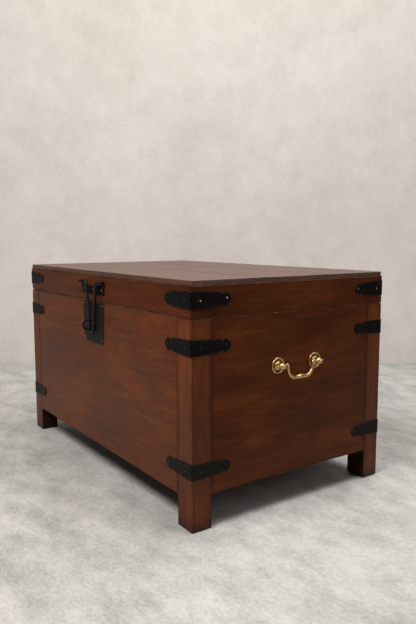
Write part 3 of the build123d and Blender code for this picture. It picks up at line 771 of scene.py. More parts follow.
@dataclass
class BoardShape:
    """A squared board with eased arrises, each edge with its own rounding."""

    low: Vector
    high: Vector
    ease: float = 0.6 * MM
    edges: dict[str, float] = field(default_factory=dict)
    pitch: float = 11 * MM
    seed: int = 1
    knocks: Sequence[tuple] = ()

    SIDES = ("x-", "x+", "y-", "y+", "z-", "z+")

    def roundings(self) -> list[tuple[int, int, float]]:
        """The twelve edges as (face, face, radius), faces numbered as in SIDES."""
        found = []
        for a in range(6):
            for b in range(a + 1, 6):
                if a // 2 == b // 2:
                    continue
                names = {self.SIDES[a], self.SIDES[b]}
                radius = self.ease
                for key, value in self.edges.items():
                    if set(key.split()) <= names:
                        radius = value
                found.append((a, b, radius))
        return found

    def lines(self, axis: int, roundings: list) -> np.ndarray:
        """Where the mesh lines cross one axis, close together beside the edges."""
        low, high = self.low[axis], self.high[axis]
        steps = []
        for way in (0, 1):
            side = 2 * axis + way
            radii = {r for a, b, r in roundings if side in (a, b)}
            near = {0.0, 8 * MM}
            for radius in radii:
                near |= {0.414 * radius, radius, 2 * radius}
            near = sorted(v for v in near if v < (high - low) * 0.42)
            steps.append(near)
        start = low + steps[0][-1]
        stop = high - steps[1][-1]
        count = max(1, int(round((stop - start) / self.pitch)))
        middle = np.linspace(start, stop, count + 1)
        found = np.concatenate([low + np.array(steps[0]), middle, high - np.array(steps[1])])
        found = np.sort(found)
        keep = np.concatenate([[True], np.diff(found) > 0.04 * MM])
        return found[keep]

    def build(self, name: str, shape: Callable[[np.ndarray], np.ndarray] | None = None):
        """Make the board's mesh.

        Args:
            name: the mesh's name.
            shape: moves the finished points, as for a mitre.

        Returns:
            The mesh, with the distances to its free arrises and to its joints stored.
        """
        roundings = self.roundings()
        grid = [self.lines(axis, roundings) for axis in range(3)]
        sizes = [len(g) for g in grid]
        numbers: dict[tuple, int] = {}
        cells: list[tuple] = []

        def number(cell: tuple) -> int:
            """The vertex at one crossing of the surface lines."""
            if cell not in numbers:
                numbers[cell] = len(cells)
                cells.append(cell)
            return numbers[cell]

        faces = []
        for axis in range(3):
            u, v = (axis + 1) % 3, (axis + 2) % 3
            for end in (0, sizes[axis] - 1):
                for i in range(sizes[u] - 1):
                    for j in range(sizes[v] - 1):
                        ring = []
                        for di, dj in ((0, 0), (1, 0), (1, 1), (0, 1)):
                            cell = [0, 0, 0]
                            cell[axis], cell[u], cell[v] = end, i + di, j + dj
                            ring.append(number(tuple(cell)))
                        faces.append(ring if end else ring[::-1])
        points = np.array([[grid[a][c[a]] for a in range(3)] for c in cells])
        low, high = np.array(self.low), np.array(self.high)
        gaps = np.empty((len(points), 6))
        gaps[:, 0::2] = points - low
        gaps[:, 1::2] = high - points
        radius = np.zeros(len(points))
        weight = np.zeros(len(points))
        nearest = {True: np.full(len(points), 1.0), False: np.full(len(points), 1.0)}
        for a, b, size in roundings:
            away = np.hypot(gaps[:, a], gaps[:, b])
            free = size > 1.5 * self.ease
            nearest[free] = np.minimum(nearest[free], away)
            share = 1.0 / (away + 0.15 * MM) ** 3
            radius += share * size
            weight += share
        radius /= weight
        radius *= 0.9 + 0.35 * waves(points, 0.07, self.seed)
        for place, reach, extra in self.knocks:
            gap = np.linalg.norm(points - np.array(place), axis=1)
            radius += extra * np.exp(-((gap / reach) ** 2))
        radius = np.clip(radius, 0.1 * MM, None)[:, None]
        inner = np.clip(points, low + radius, high - radius)
        away = points - inner
        size = np.linalg.norm(away, axis=1, keepdims=True)
        points = np.where(size > 1e-9, inner + away / np.maximum(size, 1e-9) * radius, points)
        if shape:
            points = shape(points)
        return mesh_of(name, points, faces, {"edge_distance": nearest[True],
                                             "joint_distance": nearest[False]})


def lathe(name: str, profile: Sequence[tuple], origin: Vector, axis: Vector, steps: int = 48,
          hollow: Callable[[float, float], float] | None = None) -> bpy.types.Mesh:
    """A turned shape.

    Args:
        name: the mesh's name.
        profile: (distance along the axis, radius) from one pole or rim to the other.
        origin: where the distance is nought.
        axis: the way the distance runs.
        steps: facets round the shape.
        hollow: how deep in a hollow a place on the profile is, from 0 to 1.

    Returns:
        The closed mesh, with hollow and edge_distance stored on its points.
    """
    axis = axis.normalized()
    side = axis.orthogonal().normalized()
    other = axis.cross(side)
    points, depth, rings = [], [], []
    for along, radius in profile:
        value = hollow(along, radius) if hollow else 0.0
        if radius <= 1e-7:
            rings.append([len(points)])
            points.append(origin + axis * along)
            depth.append(value)
            continue
        ring = []
        for step in range(steps):
            turn = 2 * math.pi * step / steps
            ring.append(len(points))
            points.append(origin + axis * along
                          + (side * math.cos(turn) + other * math.sin(turn)) * radius)
            depth.append(value)
        rings.append(ring)
    faces = []
    for lower, upper in zip(rings, rings[1:]):
        for step in range(steps):
            after = (step + 1) % steps
            if len(lower) == 1 and len(upper) == 1:
                continue
            if len(lower) == 1:
                faces.append([lower[0], upper[after], upper[step]])
            elif len(upper) == 1:
                faces.append([lower[step], lower[after], upper[0]])
            else:
                faces.append([lower[step], lower[after], upper[after], upper[step]])
    table = np.array([tuple(p) for p in points])
    return mesh_of(name, table, faces,
                   {"hollow": np.array(depth), "edge_distance": np.full(len(table), 1.0)})


def loft(name: str, rings: Sequence[np.ndarray], edge: Sequence[np.ndarray],
         closed: bool = False) -> bpy.types.Mesh:
    """A skin over rings of points that all have the same count.

    Args:
        name: the mesh's name.
        rings: the rings in order, each running the same way round.
        edge: the edge_distance of every point of every ring.
        closed: whether the last ring joins the first, in place of two end caps.

    Returns:
        The closed mesh.
    """
    count = len(rings[0])
    points = np.concatenate(rings)
    faces = []
    pairs = range(len(rings) if closed else len(rings) - 1)
    for r in pairs:
        a, b = r * count, ((r + 1) % len(rings)) * count
        for i in range(count):
            j = (i + 1) % count
            faces.append([a + i, a + j, b + j, b + i])
    if not closed:
        faces.append(list(range(count))[::-1])
        last = (len(rings) - 1) * count
        faces.append([last + i for i in range(count)])
    mesh = mesh_of(name, points, faces, {"edge_distance": np.concatenate(edge)})
    return facing_out(mesh)


def facing_out(mesh: bpy.types.Mesh) -> bpy.types.Mesh:
    """Turn a closed mesh's faces outwards if its volume comes out negative."""
    points = np.empty(len(mesh.vertices) * 3)
    mesh.vertices.foreach_get("co", points)
    points = points.reshape(-1, 3)
    points = points - points.mean(0)
    volume = 0.0
    for face in mesh.polygons:
        ring = points[list(face.vertices)]
        for i in range(1, len(ring) - 1):
            volume += float(np.dot(ring[0], np.cross(ring[i], ring[i + 1])))
    if volume < 0:
        mesh.flip_normals()
    return mesh


def joined(name: str, meshes: Sequence[bpy.types.Mesh]) -> bpy.types.Mesh:
    """Several meshes as one, with their float point attributes kept.

    Args:
        name: the new mesh's name.
        meshes: the meshes, which are removed.

    Returns:
        The joined mesh.
    """
    points, faces, values = [], [], {}
    labels = {a.name for m in meshes for a in m.attributes
              if a.domain == "POINT" and a.data_type == "FLOAT"}
    total = 0
    for mesh in meshes:
        table = np.empty(len(mesh.vertices) * 3)
        mesh.vertices.foreach_get("co", table)
        points.append(table.reshape(-1, 3))
        faces += [[total + v for v in face.vertices] for face in mesh.polygons]
        for label in labels:
            data = np.zeros(len(mesh.vertices), np.float32)
            if label in mesh.attributes:
                mesh.attributes[label].data.foreach_get("value", data)
            values.setdefault(label, []).append(data)
        total += len(mesh.vertices)
        bpy.data.meshes.remove(mesh)
    return mesh_of(name, np.concatenate(points), faces,
                   {label: np.concatenate(data) for label, data in values.items()})


# ---------------------------------------------------------------------------------------------
# Geometry Nodes tools
# ---------------------------------------------------------------------------------------------


class GeometryTool:
    """A Geometry Nodes tree with named inputs, used as a workshop tool."""

    def __init__(self, name: str, inputs: Sequence[tuple]) -> None:
        """Make the tree's sockets.

        Args:
            name: the tree's name.
            inputs: (name, kind, default) for each input after the geometry.
        """
        self.tree = bpy.data.node_groups.new(name, "GeometryNodeTree")
        face = self.tree.interface
        face.new_socket("Geometry", in_out="INPUT", socket_type="NodeSocketGeometry")
        face.new_socket("Geometry", in_out="OUTPUT", socket_type="NodeSocketGeometry")
        self.keys = {}
        for label, kind, default in inputs:
            socket = face.new_socket(label, in_out="INPUT", socket_type=kind)
            if default is not None:
                socket.default_value = default
            self.keys[label] = socket.identifier
        self.wires = Wiring(self.tree)
        self.given = self.wires.node("NodeGroupInput").outputs
        self.result = self.wires.node("NodeGroupOutput").inputs

    def finish_with(self, geometry: bpy.types.NodeSocket) -> None:
        """Realize, set the material and end the tree."""
        real = self.wires.node("GeometryNodeRealizeInstances", {0: geometry})
        dressed = self.wires.node("GeometryNodeSetMaterial",
                                  {"Geometry": real.outputs[0], "Material": self.given["Material"]})
        self.wires.feed(self.result[0], dressed.outputs[0])

    def run(self, piece: bpy.types.Object, **values: object) -> bpy.types.Mesh:
        """Run the tree on an object.

        Args:
            piece: the object the tree works on.
            values: input name, an underscore standing for a space, to its value.

        Returns:
            A plain mesh with the result. The object keeps no modifier.
        """
        tool = piece.modifiers.new(self.tree.name, "NODES")
        tool.node_group = self.tree
        for name, value in values.items():
            tool[self.keys[name.replace("_", " ")]] = value
        bpy.context.view_layer.update()
        graph = bpy.context.evaluated_depsgraph_get()
        mesh = bpy.data.meshes.new_from_object(piece.evaluated_get(graph), depsgraph=graph)
        piece.modifiers.remove(tool)
        return mesh


def hand_worked_tool() -> GeometryTool:
    """Sinks a surface by a smooth noise, as planing or hammering leaves it.

    Returns:
        The tool. Its Stretch lengthens the marks along one axis.
    """
    tool = GeometryTool("hand_worked", [
        ("Depth", FLOAT, 0.2 * MM), ("Pitch", FLOAT, 30 * MM), ("Stretch", VECTOR, (1.0, 1.0, 1.0)),
        ("Seed", FLOAT, 0.0), ("Material", "NodeSocketMaterial", None),
    ])
    wires, given = tool.wires, tool.given
    here = wires.node("GeometryNodeInputPosition").outputs[0]
    out = wires.node("GeometryNodeInputNormal").outputs[0]
    stretched = wires.vector("MULTIPLY", here, given["Stretch"])
    rate = wires.maths("DIVIDE", 1.0, given["Pitch"])
    marks = wires.node("ShaderNodeTexNoise", {
        "Vector": stretched, "W": given["Seed"], "Scale": rate, "Detail": 2.0, "Roughness": 0.55,
    }, noise_dimensions="4D").outputs[0]
    sunk = wires.maths("MULTIPLY", wires.maths("MULTIPLY", marks, given["Depth"]), -1.0)
    push = wires.node("ShaderNodeVectorMath", {0: out, "Scale": sunk}, operation="SCALE")
    moved = wires.node("GeometryNodeSetPosition",
                       {"Geometry": given["Geometry"], "Offset": push.outputs[0]})
    tool.finish_with(moved.outputs[0])
    return tool


def bar_tool() -> GeometryTool:
    """Sweeps a round bar along a curve, its thickness from the curve's own point radii.

    Returns:
        The tool.
    """
    tool = GeometryTool("round_bar", [
        ("Facets", "NodeSocketInt", 20), ("Flutter", FLOAT, 0.05 * MM), ("Seed", FLOAT, 0.0),
        ("Material", "NodeSocketMaterial", None),
    ])
    wires, given = tool.wires, tool.given
    ring = wires.node("GeometryNodeCurvePrimitiveCircle",
                      {"Resolution": given["Facets"], "Radius": 1.0})
    width = wires.node("GeometryNodeInputRadius").outputs[0]
    swept = wires.node("GeometryNodeCurveToMesh", {
        "Curve": given["Geometry"], "Profile Curve": ring.outputs[0], "Fill Caps": True,
    })
    if "Scale" in swept.inputs:
        wires.feed(swept.inputs["Scale"], width)
    here = wires.node("GeometryNodeInputPosition").outputs[0]
    out = wires.node("GeometryNodeInputNormal").outputs[0]
    marks = wires.node("ShaderNodeTexNoise", {
        "Vector": here, "W": given["Seed"], "Scale": 160.0, "Detail": 2.0,
    }, noise_dimensions="4D").outputs[0]
    sunk = wires.maths("MULTIPLY", wires.maths("MULTIPLY", marks, given["Flutter"]), -1.0)
    push = wires.node("ShaderNodeVectorMath", {0: out, "Scale": sunk}, operation="SCALE")
    moved = wires.node("GeometryNodeSetPosition",
                       {"Geometry": swept.outputs[0], "Offset": push.outputs[0]})
    smooth = wires.node("GeometryNodeSetShadeSmooth", {"Geometry": moved.outputs[0]})
    tool.finish_with(smooth.outputs[0])
    return tool


def nail_tool() -> GeometryTool:
    """Sets a domed nail head on every point, facing the point's stored direction.

    Returns:
        The tool.
    """
    tool = GeometryTool("nail_heads", [
        ("Head Radius", FLOAT, 3 * MM), ("Head Height", FLOAT, 1.3 * MM),
        ("Seed", "NodeSocketInt", 4), ("Bright Share", FLOAT, 0.3),
        ("Material", "NodeSocketMaterial", None),
    ])
    wires, given = tool.wires, tool.given
    dome = wires.node("GeometryNodeMeshUVSphere", {"Segments": 18, "Rings": 10, "Radius": 1.0})
    size = wires.node("ShaderNodeCombineXYZ", {0: given["Head Radius"], 1: given["Head Radius"],
                                               2: given["Head Height"]}).outputs[0]
    flat = wires.node("GeometryNodeTransform", {"Geometry": dome.outputs[0], "Scale": size})
    facing = wires.node("GeometryNodeInputNamedAttribute", {"Name": "facing"},
                        data_type="FLOAT_VECTOR").outputs[0]
    turn = wires.node("FunctionNodeAlignEulerToVector", {"Vector": facing}, axis="Z")
    shrink = wires.node("FunctionNodeRandomValue", {
        "Seed": given["Seed"],
    }, data_type="FLOAT")
    floats = [s for s in shrink.inputs if s.type == "VALUE"]
    floats[0].default_value, floats[1].default_value = 0.80, 0.99
    scale = next(s for s in shrink.outputs if s.type == "VALUE")
    heads = wires.node("GeometryNodeInstanceOnPoints", {
        "Points": given["Geometry"], "Instance": flat.outputs[0], "Rotation": turn.outputs[0],
        "Scale": scale,
    })
    luck = wires.node("FunctionNodeRandomValue", {
        "Seed": wires.maths("ADD", given["Seed"], 11.0),
    }, data_type="FLOAT")
    drawn = next(s for s in luck.outputs if s.type == "VALUE")
    rubbed = wires.node("GeometryNodeInputNamedAttribute", {"Name": "rubbed"},
                        data_type="FLOAT").outputs[0]
    spread = wires.remap(drawn, 0.0, 1.0, given["Bright Share"], 1.0)
    bright = wires.maths("MULTIPLY", rubbed, spread)
    stored = wires.node("GeometryNodeStoreNamedAttribute", {
        "Geometry": heads.outputs[0], "Name": "nail_shine", "Value": bright,
    }, data_type="FLOAT", domain="INSTANCE")
    real = wires.node("GeometryNodeRealizeInstances", {0: stored.outputs[0]})
    here = wires.node("GeometryNodeInputPosition").outputs[0]
    dents = wires.noise(here, 420.0, 1.0)
    out = wires.node("GeometryNodeInputNormal").outputs[0]
    push = wires.node("ShaderNodeVectorMath", {
        0: out, "Scale": wires.maths("MULTIPLY", dents, -0.35 * MM)}, operation="SCALE")
    moved = wires.node("GeometryNodeSetPosition", {"Geometry": real.outputs[0],
                                                   "Offset": push.outputs[0]})
    smooth = wires.node("GeometryNodeSetShadeSmooth", {"Geometry": moved.outputs[0]})
    tool.finish_with(smooth.outputs[0])
    return tool


# ---------------------------------------------------------------------------------------------
# Putting pieces into the scene
# ---------------------------------------------------------------------------------------------


class Bench:
    """Turns meshes into pieces that ride on their bodies, and keeps count."""

    def __init__(self, shop: Workshop) -> None:
        """Keep the finishes and make the Geometry Nodes tools."""
        self.shop = shop
        self.worked = hand_worked_tool()
        self.bars = bar_tool()
        self.nails = nail_tool()
        self.count = 0

    def loose(self, name: str, data: bpy.types.ID) -> bpy.types.Object:
        """A new object in the scene, not yet a finished piece."""
        made = bpy.data.objects.new(name, data)
        bpy.context.scene.collection.objects.link(made)
        return made

    def settle(self, piece: bpy.types.Object, finish: Finish, body: Body, slot: Slot,
               nodes: Iterable[str]) -> bpy.types.Object:
        """Dress a piece, let it ride, and hide the frame's nodes that it replaces.

        Args:
            piece: the finished object.
            finish: its surface.
            body: the body it moves with.
            slot: not used.
            nodes: the frame's nodes that it replaces.

        Returns:
            The same object.
        """
        piece.data.materials.clear()
        piece.data.materials.append(self.shop.material(finish))
        nodes = list(nodes)
        if nodes:
            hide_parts(*nodes)
        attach(piece, body.value)
        self.count += 1
        LOG.info("%s: %d faces, on %s", piece.name, len(piece.data.polygons), body.value)
        return piece

    def work(self, name: str, mesh: bpy.types.Mesh, depth: float, pitch: float, seed: float,
             stretch: Sequence[float] = (1.0, 1.0, 1.0)) -> bpy.types.Object:
        """An object whose surface has been gone over by hand.

        Args:
            name: the piece's name.
            mesh: its plain shape.
            depth: how deep the marks may go.
            pitch: their size.
            seed: fixes their pattern.
            stretch: lengthens them along an axis, below 1 for longer.

        Returns:
            The object with the worked mesh.
        """
        piece = self.loose(name, mesh)
        result = self.worked.run(piece, Depth=depth, Pitch=pitch, Seed=seed,
                                 Stretch=tuple(stretch))
        piece.data = result
        result.name = name
        bpy.data.meshes.remove(mesh)
        return piece

    def bar(self, name: str, route: Sequence[Vector], radii: Sequence[float], seed: float,
            flutter: float = 0.05 * MM, facets: int = 20) -> bpy.types.Mesh:
        """A round bar's mesh along a smooth route.

        Args:
            name: the mesh's name.
            route: places along its middle.
            radii: its radius at each place.
            seed: fixes its unevenness.
            flutter: how deep the unevenness goes.
            facets: faces round the bar.

        Returns:
            The mesh.
        """
        curve = bpy.data.curves.new(name, "CURVE")
        curve.dimensions = "3D"
        curve.resolution_u = 6
        spline = curve.splines.new("POLY")
        spline.points.add(len(route) - 1)
        for point, place, radius in zip(spline.points, route, radii):
            point.co = (*place, 1.0)
            point.radius = radius
        holder = self.loose(name, curve)
        mesh = self.bars.run(holder, Facets=facets, Flutter=flutter, Seed=seed)
        bpy.data.objects.remove(holder)
        bpy.data.curves.remove(curve)
        layer = mesh.attributes.new("edge_distance", "FLOAT", "POINT")
        layer.data.foreach_set("value", np.full(len(mesh.vertices), 1.0, np.float32))
        return mesh


def smooth_route(stops: Sequence[tuple], steps: int = 8) -> list[tuple]:
    """A smooth line through stops that hold a place and a radius.

    Args:
        stops: rows of numbers, such as (x, y, z, radius).
        steps: points made between two stops.

    Returns:
        The points, by Catmull and Rom's rule.
    """
    table = np.array(stops, float)
    table = np.vstack([2 * table[0] - table[1], table, 2 * table[-1] - table[-2]])
    found = []
    for i in range(1, len(table) - 2):
        a, b, c, d = table[i - 1:i + 3]
        for step in range(steps):
            t = step / steps
            found.append(0.5 * ((2 * b) + (c - a) * t + (2 * a - 5 * b + 4 * c - d) * t**2
                                + (3 * b - a - 3 * c + d) * t**3))
    found.append(table[-2])
    return [tuple(p) for p in found]


# ---------------------------------------------------------------------------------------------
# Woodwork
# ---------------------------------------------------------------------------------------------


@dataclass
class Sizes:
    """The chest's own sizes, read off the frame."""

    post_low: Vector = field(default_factory=lambda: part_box("front_right_post")[0])
    post_high: Vector = field(default_factory=lambda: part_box("front_right_post")[1])
    panel_low: Vector = field(default_factory=lambda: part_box("front_panel")[0])
    rail_low: Vector = field(default_factory=lambda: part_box("front_lid_rail")[0])
    rail_high: Vector = field(default_factory=lambda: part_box("front_lid_rail")[1])

    @property
    def half_x(self) -> float:
        """From the middle to a post's outer end face."""
        return self.post_high.x

    @property
    def half_y(self) -> float:
        """From the middle to a post's outer front face."""
        return -self.post_low.y

    @property
    def wall(self) -> float:
        """Thickness of the panels and rails."""
        return self.rail_high.y - self.rail_low.y


@dataclass
class Woodwork:
    """The posts, panels, cleats, bottom, lid rails and lid boards."""

    bench: Bench
    sizes: Sizes
    arris: float = 1.6 * MM
    joint: float = 0.35 * MM

    def board(self, name: str, low: Vector, high: Vector, grain: Grain, body: Body, slot: Slot,
              seed: int, edges: dict[str, float] | None = None, light: float = 1.0,
              glow: float = 0.5, shape: Callable | None = None, pitch: float = 11 * MM,
              ease: float | None = None, knocks: Sequence[tuple] = (),
              swung: tuple = (), gloss: float = 0.17) -> bpy.types.Object:
        """One hand-worked board, which stands for the frame's node of the same name."""
        form = BoardShape(low, high, ease if ease is not None else self.joint, edges or {},
                          pitch, seed, knocks)
        mesh = form.build(name, shape)
        stretch = {Grain.ALONG_X: (0.25, 1, 1), Grain.ALONG_Y: (1, 0.25, 1),
                   Grain.ALONG_Z: (1, 1, 0.25)}[grain]
        piece = self.bench.work(f"{name}_wood", mesh, 0.28 * MM, 55 * MM, seed * 1.7, stretch)
        finish = StainedWood(f"stained wood {name.replace('_', ' ')}", grain=grain,
                             seed=float(seed), light=light, glow=glow, swung=swung,
                             gloss=gloss)
        return self.bench.settle(piece, finish, body, slot, [name])

    def posts(self) -> None:
        """The four posts, each running down into a foot."""
        seed = 10
        for side, sy in SIDES.items():
            for end, sx in ENDS.items():
                name = f"{side}_{end}_post"
                low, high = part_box(name)
                out_x = "x+" if sx > 0 else "x-"
                out_y = "y+" if sy > 0 else "y-"
                edges = {
                    f"{out_x} {out_y}": self.arris, "z-": (3.0 if sy < 0 else 5.5) * MM,
                    f"z+ {out_x}": 1.0 * MM, f"z+ {out_y}": 1.0 * MM,
                }
                knock = ((sx * self.sizes.half_x, sy * self.sizes.half_y, high.z), 11 * MM,
                         2.4 * MM if (sx, sy) == (-1, -1) else 0.5 * MM)
                self.board(name, low, high, Grain.ALONG_Z, Body.CARCASS, Slot.WOOD, seed, edges,
                           glow=0.62 if sx > 0 else 0.45, pitch=9 * MM, knocks=(knock,))
                seed += 1

    def panels(self) -> None:
        """The four wide panels, flush with the posts."""
        s = self.sizes
        inner_x, inner_y = s.post_low.x, -s.post_high.y
        top = s.post_high.z
        for seed, (side, sy) in enumerate(SIDES.items(), 20):
            faces = sorted((sy * s.half_y, sy * (s.half_y - s.wall)))
            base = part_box(f"{side}_panel")[0].z
            low, high = Vector((-inner_x, faces[0], base)), Vector((inner_x, faces[1], top))
            out = "y+" if sy > 0 else "y-"
            self.board(f"{side}_panel", low, high, Grain.ALONG_X, Body.CARCASS, Slot.WOOD, seed,
                       {f"z+ {out}": 1.0 * MM, f"z- {out}": 1.4 * MM}, glow=0.55)
        for seed, (end, sx) in enumerate(ENDS.items(), 30):
            faces = sorted((sx * s.half_x, sx * (s.half_x - s.wall)))
            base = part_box(f"{end}_end_panel")[0].z
            low, high = Vector((faces[0], -inner_y, base)), Vector((faces[1], inner_y, top))
            out = "x+" if sx > 0 else "x-"
            # The end panels' lower light and glow are partly painted shade on the end faces.
            self.board(f"{end}_end_panel", low, high, Grain.ALONG_Y, Body.CARCASS, Slot.WOOD,
                       seed, {f"z+ {out}": 1.0 * MM, f"z- {out}": 1.4 * MM}, glow=0.48,
                       light=0.82, gloss=0.10, swung=self.swung_marks(sx))

    @staticmethod
    def swung_marks(sx: int) -> tuple:
        """Two hair scratches below an end's handle, each its middle and radius."""
        middle = (0.0, -22 * MM, 245 * MM)
        return ((middle, 62 * MM), ((0.0, -12 * MM, 232 * MM), 51 * MM)) if sx > 0 else (
            ((0.0, 15 * MM, 240 * MM), 66 * MM),)

    def bottom(self) -> None:
        """The cleats and the bottom boards, plain inside wood."""
        seed = 40
        for name in ("front_cleat", "back_cleat", "left_end_cleat", "right_end_cleat"):
            low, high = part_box(name)
            grain = Grain.ALONG_Y if "end" in name else Grain.ALONG_X
            self.board(name, low, high, grain, Body.CARCASS, Slot.INNER, seed, pitch=20 * MM)
            seed += 1
        s = self.sizes
        for name in ("front", "middle", "back"):
            low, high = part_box(f"{name}_bottom_board")
            clear_x, clear_y = s.post_low.x - MM, -s.post_high.y - MM

            def notch(points: np.ndarray) -> np.ndarray:
                """Draw the corners in so that the board passes between the posts."""
                moved = points.copy()
                beyond = (np.abs(points[:, 0]) > clear_x) & (np.abs(points[:, 1]) > clear_y)
                moved[beyond, 0] = np.sign(points[beyond, 0]) * clear_x
                return moved

            shape = None if name == "middle" else notch
            self.board(f"{name}_bottom_board", low, high, Grain.ALONG_X, Body.CARCASS,
                       Slot.INNER, seed, pitch=12 * MM, shape=shape)
            seed += 1

    def rails(self) -> None:
        """The four lid rails, mitred at the corners."""
        s = self.sizes
        base, top = s.rail_low.z, s.rail_high.z
        halves = {0: s.half_x, 1: s.half_y}
        for seed, (name, along, sign) in enumerate(
            (("front_lid_rail", 0, -1), ("back_lid_rail", 0, 1), ("left_lid_rail", 1, -1),
             ("right_lid_rail", 1, 1)), 50
        ):
            across = 1 - along
            outer = halves[across]
            low, high = Vector((0, 0, base)), Vector((0, 0, top))
            low[along], high[along] = -halves[along], halves[along]
            low[across], high[across] = sorted((sign * outer, sign * (outer - s.wall)))

            def mitre(points: np.ndarray) -> np.ndarray:
                """Slope both ends to the mitre and round the chest's corner."""
                moved = points.copy()
                depth = outer - np.abs(moved[:, across])
                reach = halves[along]
                share = np.clip((np.abs(moved[:, along]) - (reach - 2.2 * s.wall))
                                / (2.2 * s.wall), 0, 1)
                moved[:, along] -= np.sign(moved[:, along]) * depth * share
                return round_corner(moved, s.half_x, s.half_y, self.arris)

            out = ("x" if across == 0 else "y") + ("+" if sign > 0 else "-")
            grain = Grain.ALONG_X if along == 0 else Grain.ALONG_Y
            knocks = [((ex * s.half_x, ey * s.half_y, base), 11 * MM,
                       2.6 * MM if (ex, ey) == (-1, -1) else 0.5 * MM)
                      for ex in ENDS.values() for ey in SIDES.values()]
            # The rails' lower light, and the end rails' lower glow, are painted shade.
            self.board(name, low, high, grain, Body.LID, Slot.WOOD, seed,
                       {f"z+ {out}": 1.1 * MM, f"z- {out}": 1.3 * MM}, shape=mitre,
                       light=0.72, glow=0.48 if along else 0.6, pitch=9 * MM, ease=0.25 * MM,
                       knocks=knocks, gloss=0.10)

    def lid_boards(self) -> None:
        """The three boards of the lid, edge to edge, their outer edges rounded over."""
        outer = {"front": ["y-"], "middle": [], "back": ["y+"]}
        for seed, (place, free) in enumerate(outer.items(), 60):
            low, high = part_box(f"{place}_lid_board")
            edges = {f"z+ {side}": 1.8 * MM for side in ("x-", "x+", *free)}
            edges |= {f"z- {side}": 0.8 * MM for side in ("x-", "x+", *free)}
            edges |= {f"{end} {side}": 2.2 * MM for end in ("x-", "x+") for side in free}
            # The lid boards' lower light is partly painted shade: the stain darkened under the
            # top's grey sheen.
            self.board(f"{place}_lid_board", low, high, Grain.ALONG_X, Body.LID, Slot.TOP, seed,
                       edges, glow=0.45, light=0.72, ease=0.15 * MM, gloss=1.0)

    def build(self) -> None:
        """Make all the woodwork."""
        self.posts()
        self.panels()
        self.bottom()
        self.rails()
        self.lid_boards()


def round_corner(points: np.ndarray, half_x: float, half_y: float, radius: float) -> np.ndarray:
    """Round the upright corners of a rectangle in plan.

    Args:
        points: places on the rectangle's pieces.
        half_x: half its length.
        half_y: half its depth.
        radius: the rounding.

    Returns:
        The points, those past the rounding drawn in to it.
    """
    moved = points.copy()
    over_x = np.abs(points[:, 0]) - (half_x - radius)
    over_y = np.abs(points[:, 1]) - (half_y - radius)
    size = np.hypot(over_x, over_y)
    past = (over_x > 0) & (over_y > 0) & (size > radius)
    pull = np.where(past, radius / np.maximum(size, 1e-9), 1.0)
    sign = np.sign(points[:, :2])
    moved[past, 0] = (sign[:, 0] * (half_x - radius + over_x * pull))[past]
    moved[past, 1] = (sign[:, 1] * (half_y - radius + over_y * pull))[past]
    return moved


# ---------------------------------------------------------------------------------------------
# Ironwork
# ---------------------------------------------------------------------------------------------


@dataclass
class ForgedSheet:
    """A flat or bent piece of sheet iron with an uneven, slightly rounded rim."""

    thickness: float = 1.8 * MM
    rim: float = 0.45 * MM
    lanes: int = 12
    uneven: float = 0.45 * MM
    seed: int = 1

    def ragged(self, column: np.ndarray, seed: int) -> np.ndarray:
        """How far a rim strays from its line."""
        slow, quick = waves(column, 11 * MM, seed), waves(column, 4 * MM, seed + 50)
        return self.uneven * (slow + 0.45 * quick)

    def build(self, name: str, stations: np.ndarray, upper: Callable[[np.ndarray], np.ndarray],
              lower: Callable[[np.ndarray], np.ndarray],
              wrap: Callable[[np.ndarray, np.ndarray, np.ndarray], np.ndarray]):
        """Make the sheet.

        Args:
            name: the mesh's name.
            stations: distances along the sheet.
            upper: the upper rim's height at each distance.
            lower: the lower rim's height at each distance.
            wrap: (along, height, out of the face) to places in the frame.

        Returns:
            The closed mesh.
        """
        column = stations[:, None]
        high = upper(stations) + self.ragged(column, self.seed)
        low = lower(stations) + self.ragged(column, self.seed + 1)
        rings, gaps = [], []
        for along, top, base in zip(stations, high, low):
            middle = (top + base) / 2
            half = max((top - base) / 2, 0.3 * MM)
            rim = min(self.rim, half * 0.5)
            flat = half - rim
            heights = [-half, -half + 0.25 * rim]
            depths = [0.0, self.thickness - 0.6 * rim]
            away = [0.0, 0.2 * rim]
            for lane in range(self.lanes + 1):
                spot = -flat + 2 * flat * lane / self.lanes
                heights.append(spot)
                depths.append(self.thickness)
                away.append(half - abs(spot))
            heights += [half - 0.25 * rim, half]
            depths += [self.thickness - 0.6 * rim, 0.0]
            away += [0.2 * rim, 0.0]
            heights = np.array(heights) + middle
            rings.append(wrap(np.full(len(heights), along), heights, np.array(depths)))
            gaps.append(np.array(away))
        return loft(name, rings, gaps)


